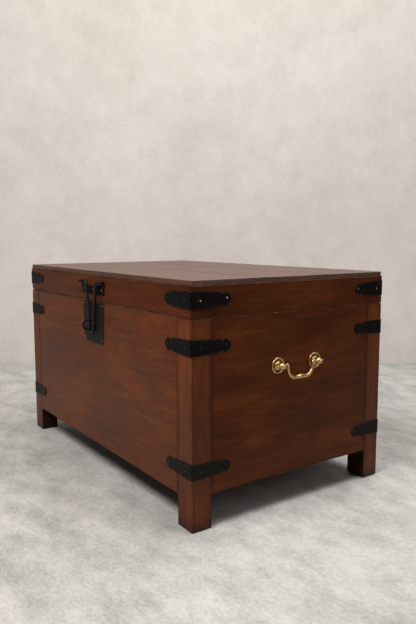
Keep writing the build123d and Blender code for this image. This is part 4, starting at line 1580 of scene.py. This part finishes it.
@dataclass
class Ironwork:
    """The corner straps, hasp plate, hasp, staple plate, staple, hinges and nails."""

    bench: Bench
    sizes: Sizes
    nail_spots: dict[Body, list] = field(default_factory=lambda: {Body.CARCASS: [], Body.LID: []})

    def settle_sheet(self, name: str, mesh: bpy.types.Mesh, body: Body, seed: int,
                     rust: float = 0.25, shade: float = 1.0) -> None:
        """Hammer a sheet and settle it as the iron piece of that name."""
        piece = self.bench.work(f"{name}_iron", mesh, 0.55 * MM, 7 * MM, float(seed))
        finish = BlackIron(f"black iron {name.replace('_', ' ')}", float(seed), rust, shade)
        self.bench.settle(piece, finish, body, Slot.IRON, [name])

    def wing_half(self, reach: float, draw: np.random.Generator, root: float = 15 * MM,
                  neck: float = 9.4 * MM, lobe: float = 12.3 * MM) -> Callable:
        """One rim of a strap's wing: its height over the middle at a distance from the bend.

        Args:
            reach: the wing's length.
            draw: random source for the hand-cut differences.
            root: height at the bend.
            neck: height in the notch.
            lobe: height of the spade end.

        Returns:
            A function of distance.
        """
        shoulder = draw.uniform(0.615, 0.655)
        barb = shoulder + draw.uniform(0.055, 0.07)
        notch = barb + draw.uniform(0.055, 0.075)
        corner = notch + draw.uniform(0.075, 0.10)
        neck = neck + draw.uniform(-0.8, 0.6) * MM
        lobe = lobe + draw.uniform(-0.9, 0.6) * MM
        side = root - draw.uniform(1.4, 2.4) * MM
        places = [0.0, 0.35, shoulder - 0.05, shoulder, shoulder + 0.022, barb, barb + 0.03,
                  notch, notch + 0.03, corner - 0.02, corner]
        heights = [root, root - 1.0 * MM, side - 0.3 * MM, side + 0.4 * MM, side - 1.3 * MM,
                   side - draw.uniform(0.2, 1.0) * MM, neck + 0.5 * MM, neck, neck + 0.5 * MM,
                   lobe - 0.3 * MM, lobe]
        blunt = draw.uniform(1.7, 2.8)

        def half(distance: np.ndarray) -> np.ndarray:
            """Height of the rim at each distance."""
            share = distance / reach
            body = np.interp(share, places, heights)
            tail = np.clip((share - corner) / (1 - corner), 0, 1)
            return np.where(share > corner, lobe * (1 - tail**blunt) ** 0.72, body)

        return half

    def strap(self, side: str, end: str, level: str, seed: int) -> None:
        """One bent corner strap with a spade end on each wing."""
        name = f"{side}_{end}_{level}_strap"
        low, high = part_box(name)
        sx, sy = ENDS[end], SIDES[side]
        middle = (low.z + high.z) / 2
        half_x, half_y = self.sizes.half_x, self.sizes.half_y
        thick = 1.8 * MM
        reach = high.x - low.x - thick
        draw = np.random.default_rng(seed)
        root = 16.0 * MM if level == "lid" else 15.0 * MM
        rims = [[self.wing_half(reach, draw, root) for _ in range(2)] for _ in range(2)]
        reaches = [reach - draw.uniform(0, 2.6) * MM for _ in range(2)]
        # distances run from the tip on the long face, round the bend, to the tip on the end face
        fine = np.concatenate([
            -reaches[0] + reaches[0] * (1 - np.cos(np.linspace(0, math.pi / 2, 12))) * 0.2,
            np.arange(-reaches[0] * 0.79, -3.0 * MM, 1.15 * MM),
            np.linspace(-2.6 * MM, 2.6 * MM, 9),
            np.arange(3.2 * MM, reaches[1] * 0.79, 1.15 * MM),
            reaches[1] - reaches[1] * (1 - np.cos(np.linspace(math.pi / 2, 0, 12))) * 0.2,
        ])
        fine = np.unique(np.round(fine, 7))

        def rim(distance: np.ndarray, edge: int) -> np.ndarray:
            """The upper or lower rim's height over the middle, both sides of the bend."""
            left = rims[0][edge](np.abs(distance) * reach / reaches[0])
            right = rims[1][edge](np.abs(distance) * reach / reaches[1])
            return np.where(distance < 0, left, right)

        bend = 2.2 * MM

        def wrap(along: np.ndarray, height: np.ndarray, out: np.ndarray) -> np.ndarray:
            """Lay the strap on the long face, round the corner and on the end face."""
            turn = np.clip(along / (2 * bend) + 0.5, 0, 1) * math.pi / 2
            past_long = np.minimum(along + bend, 0)
            past_end = np.maximum(along - bend, 0)
            x = half_x - bend + np.sin(turn) * (bend + out) + past_long
            y = half_y - bend + np.cos(turn) * (bend + out) - past_end
            return np.stack([sx * x, sy * y, middle + height], axis=1)

        ragged = (0.85 if level == "lower" else 0.55) * MM
        mesh = ForgedSheet(thick, seed=seed, uneven=ragged).build(
            name, fine, lambda d: rim(d, 0), lambda d: -rim(d, 1), wrap)
        body = Body.LID if level == "lid" else Body.CARCASS
        self.settle_sheet(name, mesh, body, seed, rust=0.2 + 0.25 * draw.uniform(),
                          shade=2.2 if level == "lower" else 1.2)
        for face in (0, 1):
            for along, up in ((18.5 * MM, -1.0 * MM), (75 * MM, 1.5 * MM)):
                place = wrap(np.array([(-1, 1)[face] * along]), np.array([up]),
                             np.array([thick - 0.35 * MM]))[0]
                facing = (0, sy, 0) if face == 0 else (sx, 0, 0)
                rubbed = 1.0 if level == "lid" and face else draw.uniform(0.0, 0.35)
                self.nail_spots[body].append((place, facing, rubbed))

    def straps(self) -> None:
        """All twelve corner straps."""
        seed = 100
        for level in ("lid", "upper", "lower"):
            for side in SIDES:
                for end in ENDS:
                    self.strap(side, end, level, seed)
                    seed += 3

    def rolled_knuckle(self, name: str, start: float, stop: float, y: float, z: float,
                       bore: float, outer: float, facing: float, tail: float, up: float,
                       seam: float = -128.0) -> bpy.types.Mesh:
        """A knuckle rolled from the sheet's own end, open by a narrow seam.

        Args:
            name: the mesh's name.
            start: where it starts along X.
            stop: where it stops along X.
            y: the axis's place.
            z: the axis's height.
            bore: inner radius.
            outer: outer radius.
            facing: -1 when the sheet faces the front, 1 when it faces the back.
            tail: length of the flat that runs back into the sheet.
            up: 1 when the flat leaves downwards, -1 upwards.
            seam: the angle where the roll ends.

        Returns:
            The closed mesh.
        """
        angles = np.radians(np.linspace(180, seam, 30))
        inner = [(bore * math.cos(a), bore * math.sin(a)) for a in angles]
        outside = [(outer * math.cos(a), outer * math.sin(a)) for a in angles]
        section = [(-outer, -tail)] + outside + inner[::-1] + [(-bore, -tail)]
        rings = []
        for x in np.linspace(start, stop, 8):
            ring = [(x, y + facing * across, z + up * height) for across, height in section]
            rings.append(np.array(ring))
        return loft(name, rings, [np.full(len(section), 0.004)] * len(rings))

    def hasp_plate(self) -> None:
        """The plate on the lid whose top is rolled into two knuckles."""
        low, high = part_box("hasp_plate")
        joint = next(j for j in frame["joints"] if j["name"] == "hasp_hinge")
        _, axis_y, axis_z = joint["pos_m"]
        face = -self.sizes.half_y
        half = 57 * MM
        inner, outer = 30.5 * MM, high.x

        def top(along: np.ndarray) -> np.ndarray:
            """Upper rim: hollow in the middle and up to the knuckles at the sides."""
            dip = axis_z - 6.4 * MM - 0.8 * MM * np.cos(along / inner * math.pi / 2)
            return np.where(np.abs(along) < inner - 2 * MM, dip, axis_z - 0.5 * MM)

        def base(along: np.ndarray) -> np.ndarray:
            """Lower rim, its corners a little cut."""
            corner = np.clip((np.abs(along) - (half - 3 * MM)) / (3 * MM), 0, 1)
            return low.z + 0.4 * MM + corner * 3.0 * MM

        stations = np.unique(np.concatenate([
            np.arange(-half + 0.5 * MM, half, 2.2 * MM), [-half + 0.3 * MM, half - 0.3 * MM],
            [-inner + 2.1 * MM, -inner + 1.9 * MM, inner - 2.1 * MM, inner - 1.9 * MM],
        ]))
        sheet = ForgedSheet(1.7 * MM, seed=301, uneven=0.3 * MM).build(
            "hasp_plate", stations, top, base,
            lambda u, v, w: np.stack([u, face - w, v], axis=1))
        knuckles = [
            self.rolled_knuckle("knuckle", min(sx * inner, sx * outer), max(sx * inner, sx * outer),
                                axis_y, axis_z, 3.3 * MM, 4.65 * MM, -1, 6 * MM, 1, -58.0)
            for sx in (-1, 1)
        ]
        self.settle_sheet("hasp_plate", joined("hasp_plate", [sheet, *knuckles]), Body.LID, 301,
                          rust=0.35)
        for x in (-46 * MM, 0.0, 46 * MM):
            self.nail_spots[Body.LID].append(
                ((x, face - 1.4 * MM, low.z + 12 * MM), (0, -1, 0), 0.8))

    def hasp(self) -> None:
        """The hasp: one bar bent into a narrow loop, its ends turned out as pintles."""
        low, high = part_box("hasp")
        joint = next(j for j in frame["joints"] if j["name"] == "hasp_hinge")
        _, axis_y, axis_z = joint["pos_m"]
        bar = (high.y - low.y) / 2
        bend = 8 * MM
        bottom = low.z + bar
        centre = bottom + bend
        wide = 25.5 * MM
        right = [
            (high.x, axis_z), (wide + 7 * MM, axis_z), (wide + 3.0 * MM, axis_z - 0.1 * MM),
            (wide + 0.4 * MM, axis_z - 1.0 * MM), (wide - 1.3 * MM, axis_z - 3.4 * MM),
            (wide - 2.6 * MM, axis_z - 10 * MM), (0.72 * wide, axis_z - 40 * MM),
            (0.52 * wide, axis_z - 68 * MM), (0.37 * wide, centre + 5 * MM),
        ]
        turn = [(bend * math.cos(a), centre + bend * math.sin(a))
                for a in np.radians((-5, -35, -65, -90, -115, -145, -175))]
        flat = right + turn + [(-x, z) for x, z in right[::-1]]
        stops = []
        for i, (x, z) in enumerate(flat):
            stops.append((x, axis_y, z, bar * (0.96 + 0.03 * math.sin(i * 1.9))))
        route = smooth_route(stops, 7)
        mesh = self.bench.bar("hasp", [p[:3] for p in route], [p[3] for p in route], 5.0,
                              0.22 * MM)
        piece = self.bench.loose("hasp_iron", mesh)
        # The hasp's base colour is lighter than most iron (shade 2.2): partly a painted highlight
        # on its bars.
        self.bench.settle(piece, BlackIron("black iron hasp", 5.0, 0.15, 2.2, 0.35), Body.HASP,
                          Slot.IRON, ["hasp"])

    def staple_plate(self) -> None:
        """The long plate under the hasp, one of its lower corners clipped."""
        low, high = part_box("staple_plate")
        face = -self.sizes.half_y

        def base(along: np.ndarray) -> np.ndarray:
            """Lower rim, cut away at its left corner."""
            return low.z + np.interp(along, [low.x, low.x + 5 * MM, low.x + 15 * MM],
                                     [12 * MM, 7 * MM, 0.5 * MM])

        def lean(along: np.ndarray, height: np.ndarray, out: np.ndarray) -> np.ndarray:
            """Lay the plate on the face, narrower at its foot."""
            fall = (high.z - height) / (high.z - low.z)
            shift = np.interp(along, [low.x, high.x], [7 * MM, -5 * MM]) * fall
            return np.stack([along + shift, face - out, height], axis=1)

        stations = np.unique(np.concatenate([
            np.arange(low.x + 0.6 * MM, high.x, 2.2 * MM), [low.x + 0.3 * MM, high.x - 0.3 * MM]]))
        mesh = ForgedSheet(1.7 * MM, seed=311, lanes=34, uneven=0.4 * MM).build(
            "staple_plate", stations, lambda u: np.full(len(u), high.z - 0.4 * MM), base, lean)
        self.settle_sheet("staple_plate", mesh, Body.CARCASS, 311, rust=0.2, shade=2.4)
        for x, z in ((-47, 376), (47, 376), (-40, 301), (40, 299)):
            self.nail_spots[Body.CARCASS].append(
                ((x * MM, face - 1.4 * MM, z * MM), (0, -1, 0), 0.8))

    def staple(self) -> None:
        """The staple: a bar bent to a D that stands out through the hasp."""
        low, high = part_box("staple")
        bar = (high.x - low.x) / 2
        middle = (low.z + high.z) / 2
        ring = (high.z - low.z) / 2 - bar
        start = low.y + bar + ring
        stops = [(0, high.y - 1 * MM, middle + ring, bar * 0.8),
                 (0, (start + high.y) / 2, middle + ring, bar * 0.97)]
        for angle in np.radians(np.linspace(90, 270, 9)):
            stops.append((0, start + ring * math.cos(angle), middle + ring * math.sin(angle),
                          bar * 0.97))
        stops += [(0, (start + high.y) / 2, middle - ring, bar * 0.97),
                  (0, high.y - 1 * MM, middle - ring, bar * 0.8)]
        route = smooth_route(stops, 6)
        mesh = self.bench.bar("staple", [p[:3] for p in route], [p[3] for p in route], 8.0,
                              0.2 * MM)
        piece = self.bench.loose("staple_iron", mesh)
        self.bench.settle(piece, BlackIron("black iron staple", 8.0, 0.15, 1.4, 0.25), Body.CARCASS,
                          Slot.IRON, ["staple"])

    def hinges(self) -> None:
        """Two surface hinges with spade-ended leaves on the back."""
        joint = next(j for j in frame["joints"] if j["name"] == "lid_hinge")
        _, axis_y, axis_z = joint["pos_m"]
        face = self.sizes.half_y
        for end, sx in ENDS.items():
            pin_low, pin_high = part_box(f"{end}_hinge_pin")
            centre = (pin_low.x + pin_high.x) / 2
            for owner, up in (("body", -1), ("lid", 1)):
                name = f"{end}_hinge_{owner}_leaf"
                low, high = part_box(name)
                reach = (axis_z - low.z) if up < 0 else (high.z - axis_z)
                draw = np.random.default_rng(400 + up + sx * 5)
                rims = [self.wing_half(reach, draw, 21.6 * MM, 12 * MM, 14.5 * MM)
                        for _ in range(2)]
                stations = np.unique(np.concatenate([
                    np.arange(1.6 * MM, reach * 0.8, 1.8 * MM),
                    reach - reach * (1 - np.cos(np.linspace(math.pi / 2, 0, 10))) * 0.2]))
                sheet = ForgedSheet(1.7 * MM, seed=400 + up + sx * 5).build(
                    name, stations, rims[0], lambda d, rim=rims[1]: -rim(d),
                    lambda u, v, w, up=up: np.stack(
                        [centre + v, face + w, axis_z + up * u], axis=1))
                spans = ([(-22.0, -7.8), (7.8, 22.0)] if owner == "body" else [(-7.4, 7.4)])
                rolls = [self.rolled_knuckle("knuckle", centre + a * MM, centre + b * MM, axis_y,
                                             axis_z, 2.62 * MM, 4.4 * MM, 1, 5 * MM, -up)
                         for a, b in spans]
                body = Body.LID if owner == "lid" else Body.CARCASS
                self.settle_sheet(name, joined(name, [sheet, *rolls]), body, 410 + up + sx * 5)
                spots = ((14, 14), (14, -14), (62 if owner == "body" else 38, 0))
                for along, side in spots:
                    self.nail_spots[body].append((
                        (centre + side * MM, face + 1.4 * MM, axis_z + up * along * MM),
                        (0, 1, 0), draw.uniform(0.0, 0.6)))
            pin = lathe(f"{end}_hinge_pin", [
                (0, 0), (0, 2.6 * MM), (0.5 * MM, 3.3 * MM), (1.2 * MM, 3.3 * MM),
                (1.5 * MM, 2.45 * MM), (pin_high.x - pin_low.x - 1.5 * MM, 2.45 * MM),
                (pin_high.x - pin_low.x - 1.2 * MM, 3.3 * MM),
                (pin_high.x - pin_low.x - 0.5 * MM, 3.3 * MM),
                (pin_high.x - pin_low.x, 2.6 * MM), (pin_high.x - pin_low.x, 0),
            ], Vector((pin_low.x, axis_y, axis_z)), Vector((1, 0, 0)), 24)
            piece = self.bench.loose(f"{end}_hinge_pin_iron", facing_out(pin))
            self.bench.settle(piece, BlackIron(f"black iron {end} pin", 3.0 + sx, 0.3),
                              Body.CARCASS, Slot.IRON, [f"{end}_hinge_pin"])

    def drive_nails(self) -> None:
        """One group of nail heads on the carcass and one on the lid."""
        for body, name in ((Body.CARCASS, "body_nails"), (Body.LID, "lid_nails")):
            spots = self.nail_spots[body]
            mesh = bpy.data.meshes.new(name)
            mesh.from_pydata([tuple(place) for place, _, _ in spots], [], [])
            layer = mesh.attributes.new("facing", "FLOAT_VECTOR", "POINT")
            facings = np.array([facing for _, facing, _ in spots], np.float32)
            layer.data.foreach_set("vector", facings.ravel())
            layer = mesh.attributes.new("rubbed", "FLOAT", "POINT")
            layer.data.foreach_set("value", np.array([r for _, _, r in spots], np.float32))
            holder = self.bench.loose(f"{name}_points", mesh)
            finish = NailIron("nail iron")
            result = self.bench.nails.run(holder, Head_Radius=2.45 * MM, Head_Height=1.35 * MM,
                                          Seed=4, Bright_Share=0.9)
            bpy.data.objects.remove(holder)
            bpy.data.meshes.remove(mesh)
            piece = self.bench.loose(f"{name}_heads", result)
            self.bench.settle(piece, finish, body, Slot.NAIL, [name])

    def build(self) -> None:
        """Make all the ironwork."""
        self.straps()
        self.hasp_plate()
        self.hasp()
        self.staple_plate()
        self.staple()
        self.hinges()
        self.drive_nails()


# ---------------------------------------------------------------------------------------------
# Brass handles
# ---------------------------------------------------------------------------------------------


@dataclass
class BailHandle:
    """One end's handle: two dished rosettes, two turned posts and the bail between them."""

    bench: Bench
    end: str

    def build(self) -> None:
        """Make the handle's five brass pieces."""
        sx = ENDS[self.end]
        joint = next(j for j in frame["joints"] if j["name"] == f"{self.end}_bail_swing")
        pivot_x, _, pivot_z = joint["pos_m"]
        out = Vector((sx, 0, 0))
        for side, sy in SIDES.items():
            low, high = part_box(f"{side}_{self.end}_rosette")
            foot = low.x if sx > 0 else high.x
            middle = Vector((foot, (low.y + high.y) / 2, (low.z + high.z) / 2))
            self.rosette(side, middle, out)
            self.post(side, middle, out, abs(pivot_x - foot))
        self.bail(sx, pivot_x, pivot_z, abs(middle.y))

    def rosette(self, side: str, middle: Vector, out: Vector) -> None:
        """A dished round plate with a raised rim and turned rings."""
        name = f"{side}_{self.end}_rosette"
        outline = [(0, 0), (0, 15.6), (0.5, 15.95), (1.4, 15.9), (2.3, 15.5), (2.9, 14.8),
                   (2.9, 14.1), (2.3, 13.3), (1.4, 12.3), (0.9, 11.0), (0.8, 9.9), (1.3, 9.0),
                   (2.6, 8.4), (3.4, 8.0), (4.0, 7.4), (4.5, 6.8), (4.8, 6.2), (4.9, 5.4),
                   (4.9, 0)]

        def hollow(along: float, radius: float) -> float:
            """Darkest in the dish between the rim and the rings."""
            return max(0.0, 1 - abs(radius - 10.6 * MM) / (2.6 * MM)) if radius > 5 * MM else 0.0

        mesh = lathe(name, [(a * MM, r * MM) for a, r in outline], middle, out, 64, hollow)
        piece = self.bench.loose(f"{name}_brass", facing_out(mesh))
        self.bench.settle(piece, AgedBrass(f"aged brass {name.replace('_', ' ')}",
                                           float(len(name))), Body.CARCASS, Slot.BRASS, [name])

    def post(self, side: str, middle: Vector, out: Vector, ball_out: float) -> None:
        """A turned post: collar, ball that takes the bail's pin, and a button end."""
        name = f"{side}_{self.end}_handle_post"
        low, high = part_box(name)
        length = high.x - low.x
        ball = 6.95 * MM
        outline = [(-(length - 21.6 * MM) + 0.2 * MM, 0), (-(length - 21.6 * MM) + 0.2 * MM,
                   2.45 * MM), (4.6 * MM, 2.45 * MM), (4.7 * MM, 4.6 * MM), (5.2 * MM, 5.2 * MM),
                   (5.9 * MM, 5.3 * MM), (6.4 * MM, 4.8 * MM), (6.6 * MM, 4.3 * MM)]
        for angle in np.radians(np.linspace(142, 24, 14)):
            outline.append((ball_out + ball * math.cos(angle), ball * math.sin(angle)))
        outline += [(ball_out + 7.0 * MM, 2.9 * MM), (ball_out + 7.5 * MM, 3.6 * MM),
                    (ball_out + 8.3 * MM, 3.7 * MM), (ball_out + 9.0 * MM, 3.0 * MM),
                    (ball_out + 9.4 * MM, 1.6 * MM), (ball_out + 9.5 * MM, 0)]

        def hollow(along: float, radius: float) -> float:
            """Dark in the two necks either side of the ball."""
            return max(0.0, 1 - abs(along - 6.5 * MM) / (1.2 * MM),
                       1 - abs(along - ball_out - 7.0 * MM) / (0.8 * MM))

        mesh = lathe(name, outline, middle, out, 48, hollow)
        piece = self.bench.loose(f"{name}_brass", facing_out(mesh))
        self.bench.settle(piece, AgedBrass(f"aged brass {name.replace('_', ' ')}",
                                           float(len(name)) + 2), Body.CARCASS, Slot.BRASS,
                          [name])

    def bail(self, sx: int, pivot_x: float, pivot_z: float, spread: float) -> None:
        """The bail: pins through the balls, swan-necked arms and a grip with a turned knop."""
        name = f"{self.end}_bail"
        low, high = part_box(name)
        x = pivot_x
        tip = high.y - 2.6 * MM
        half = [
            (tip, 0.0, 1.9), (spread + 7.2 * MM, 0.0, 1.9), (spread - 6 * MM, 0.0, 1.9),
            (spread - 8.5 * MM, 0.1 * MM, 2.0), (spread - 11.0 * MM, 1.3 * MM, 2.25),
            (spread - 13.4 * MM, 2.0 * MM, 2.7), (spread - 15.4 * MM, 0.4 * MM, 2.9),
            (spread - 15.9 * MM, -3.5 * MM, 2.7), (spread - 16.4 * MM, -8.5 * MM, 2.7),
            (spread - 18.2 * MM, -14.5 * MM, 2.9), (spread - 22.0 * MM, -20.0 * MM, 3.2),
            (spread - 27.5 * MM, -24.0 * MM, 3.4), (spread - 34.0 * MM, -25.4 * MM, 3.4),
            (spread - 41.0 * MM, -25.1 * MM, 3.3), (spread - 45.0 * MM, -24.7 * MM, 3.3),
        ]
        stops = [(x, y, pivot_z + z, r * MM) for y, z, r in half]
        stops.append((x, 0.0, pivot_z - 24.4 * MM, 3.0 * MM))
        stops += [(x, -y, z, r) for x, y, z, r in stops[-2::-1]]
        route = smooth_route(stops, 6)
        bar = self.bench.bar(name, [p[:3] for p in route], [p[3] for p in route], 2.0 + sx,
                             0.12 * MM, 24)
        parts = [bar]
        knop = [(-11.0, 0), (-11.0, 2.4), (-9.6, 3.2), (-7.6, 3.5), (-6.2, 3.35), (-4.8, 3.9),
                (-3.0, 4.35), (-1.4, 4.5), (0, 4.55), (1.4, 4.5), (3.0, 4.35), (4.8, 3.9),
                (6.2, 3.35), (7.6, 3.5), (9.6, 3.2), (11.0, 2.4), (11.0, 0)]
        parts.append(facing_out(lathe("knop", [(a * MM, r * MM) for a, r in knop],
                                      Vector((x, 0, pivot_z - 24.4 * MM)), Vector((0, 1, 0)),
                                      32, lambda a, r: 1.0 if r < 3.1 * MM else 0.0)))
        for sy in (-1, 1):
            knob = [(2.7 * math.cos(a) * MM, 2.7 * math.sin(a) * MM)
                    for a in np.linspace(math.pi, 0, 10)]
            knob[0], knob[-1] = (knob[0][0], 0.0), (knob[-1][0], 0.0)
            parts.append(facing_out(lathe("knob", knob, Vector((x, sy * tip, pivot_z)),
                                          Vector((0, sy, 0)), 24)))
        mesh = joined(name, parts)
        piece = self.bench.loose(f"{name}_brass", mesh)
        body = Body.RIGHT_BAIL if self.end == "right" else Body.LEFT_BAIL
        self.bench.settle(piece, AgedBrass(f"aged brass {self.end} bail", 6.0 + sx), body,
                          Slot.BRASS, [name])


# ---------------------------------------------------------------------------------------------
# Stage
# ---------------------------------------------------------------------------------------------


@dataclass
class Studio:
    """The floor, the wall behind, soft lights and the camera."""

    bench: Bench
    eye: tuple = (1.2622, -0.8194, 0.5232)
    heading: float = 144.977
    pitch: float = -6.902
    roll: float = 0.048
    lens: float = 35.765
    wall_distance: float = 2.55

    def forward(self) -> Vector:
        """The camera's heading on the floor."""
        turn = math.radians(self.heading)
        return Vector((math.cos(turn), math.sin(turn), 0))

    def slab(self, name: str, corners: Sequence[Vector], finish: Finish) -> None:
        """A flat stage piece."""
        mesh = bpy.data.meshes.new(name)
        mesh.from_pydata([tuple(c) for c in corners], [], [(0, 1, 2, 3)])
        mesh.materials.append(self.bench.shop.material(finish))
        piece = self.bench.loose(name, mesh)
        piece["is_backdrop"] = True

    def surroundings(self) -> None:
        """A pale grey floor and a pale warm wall that can be looked through from behind."""
        reach = 6.0
        self.slab("floor", [Vector((-reach, -reach, 0)), Vector((reach, -reach, 0)),
                            Vector((reach, reach, 0)), Vector((-reach, reach, 0))],
                  StudioGround("pale floor", (0.57, 0.555, 0.545), (0.30, 0.29, 0.285),
                               (1.0, 1.6, 1.0)))
        ahead = self.forward()
        side = Vector((-ahead.y, ahead.x, 0))
        base = Vector(self.eye) + ahead * self.wall_distance
        base.z = 0
        up = Vector((0, 0, 4.5))
        self.slab("wall", [base + side * 6, base - side * 6, base - side * 6 + up,
                           base + side * 6 + up],
                  StudioGround("pale wall", (0.75, 0.70, 0.665), (0.63, 0.58, 0.545),
                               one_sided=True))

    def lamp(self, name: str, place: Vector, target: Vector, size: float, power: float,
             colour: tuple) -> None:
        """A large soft square light."""
        light = bpy.data.lights.new(name, "AREA")
        light.shape = "SQUARE"
        light.size = size
        light.energy = power
        light.color = colour
        holder = bpy.data.objects.new(name, light)
        holder.location = place
        holder.rotation_euler = (target - place).to_track_quat("-Z", "Y").to_euler()
        bpy.context.scene.collection.objects.link(holder)

    def lights(self) -> None:
        """Daylight from above the near corner, a ceiling light, a weak fill and an even sky."""
        ahead = self.forward()
        left = Vector((-ahead.y, ahead.x, 0))
        aim = Vector((0, 0, 0.25))
        self.lamp("window", Vector((0.50, -1.30, 2.0)), aim, 0.8, 46, (1.0, 0.965, 0.92))
        self.lamp("ceiling", aim - left * 1.0 - ahead * 0.15 + Vector((0, 0, 2.9)), aim, 1.8, 62,
                  (1.0, 0.975, 0.94))
        self.lamp("fill", aim - left * 2.2 - ahead * 1.6 + Vector((0, 0, 1.6)), aim, 1.6, 9,
                  (1.0, 0.98, 0.95))
        world = bpy.data.worlds.new("studio sky")
        world.use_nodes = True
        sky = world.node_tree.nodes["Background"]
        sky.inputs[0].default_value = (0.95, 0.97, 1.0, 1.0)
        sky.inputs[1].default_value = 0.08
        bpy.context.scene.world = world

    def camera(self) -> None:
        """The camera, at standing height off the near corner."""
        data = bpy.data.cameras.new("camera")
        data.lens = self.lens
        data.sensor_width = 36.0
        holder = bpy.data.objects.new("camera", data)
        holder.location = self.eye
        holder.rotation_euler = Euler((math.radians(90 + self.pitch), math.radians(self.roll),
                                       math.radians(self.heading - 90)), "XYZ")
        bpy.context.scene.collection.objects.link(holder)
        bpy.context.scene.camera = holder

    def build(self) -> None:
        """Set the stage."""
        self.camera()
        self.surroundings()
        self.lights()
        bpy.context.scene.view_settings.view_transform = "Standard"


# ---------------------------------------------------------------------------------------------


def write_sizes() -> None:
    """Gather the frame's box and the finished model's box as plain numbers; they are not kept."""
    boxes = {"cad": CAD_BOX, "visual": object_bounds()}
    {name: [list(corner) for corner in box] for name, box in boxes.items()}


def main() -> None:
    """Build the chest and its stage."""
    logging.basicConfig(level=logging.INFO, format="%(name)s: %(message)s")
    sizes = Sizes()
    hollow = hollow_group(sizes.half_x - sizes.wall, sizes.half_y - sizes.wall,
                          sizes.post_low.x, -sizes.post_high.y, sizes.panel_low.z,
                          CAD_BOX[1][2])
    bench = Bench(Workshop(hollow))
    Studio(bench).build()
    Woodwork(bench, sizes).build()
    Ironwork(bench, sizes).build()
    for end in ENDS:
        BailHandle(bench, end).build()
    steel = bench.shop.material(PlainSteel("plain steel"))
    for name in ("handle_nuts", "handle_washers"):
        node = frame["nodes"][name]
        node.data.materials.clear()
        node.data.materials.append(steel)
    LOG.info("%d pieces built", bench.count)
    write_sizes()


if __name__ == "__main__":
    main()
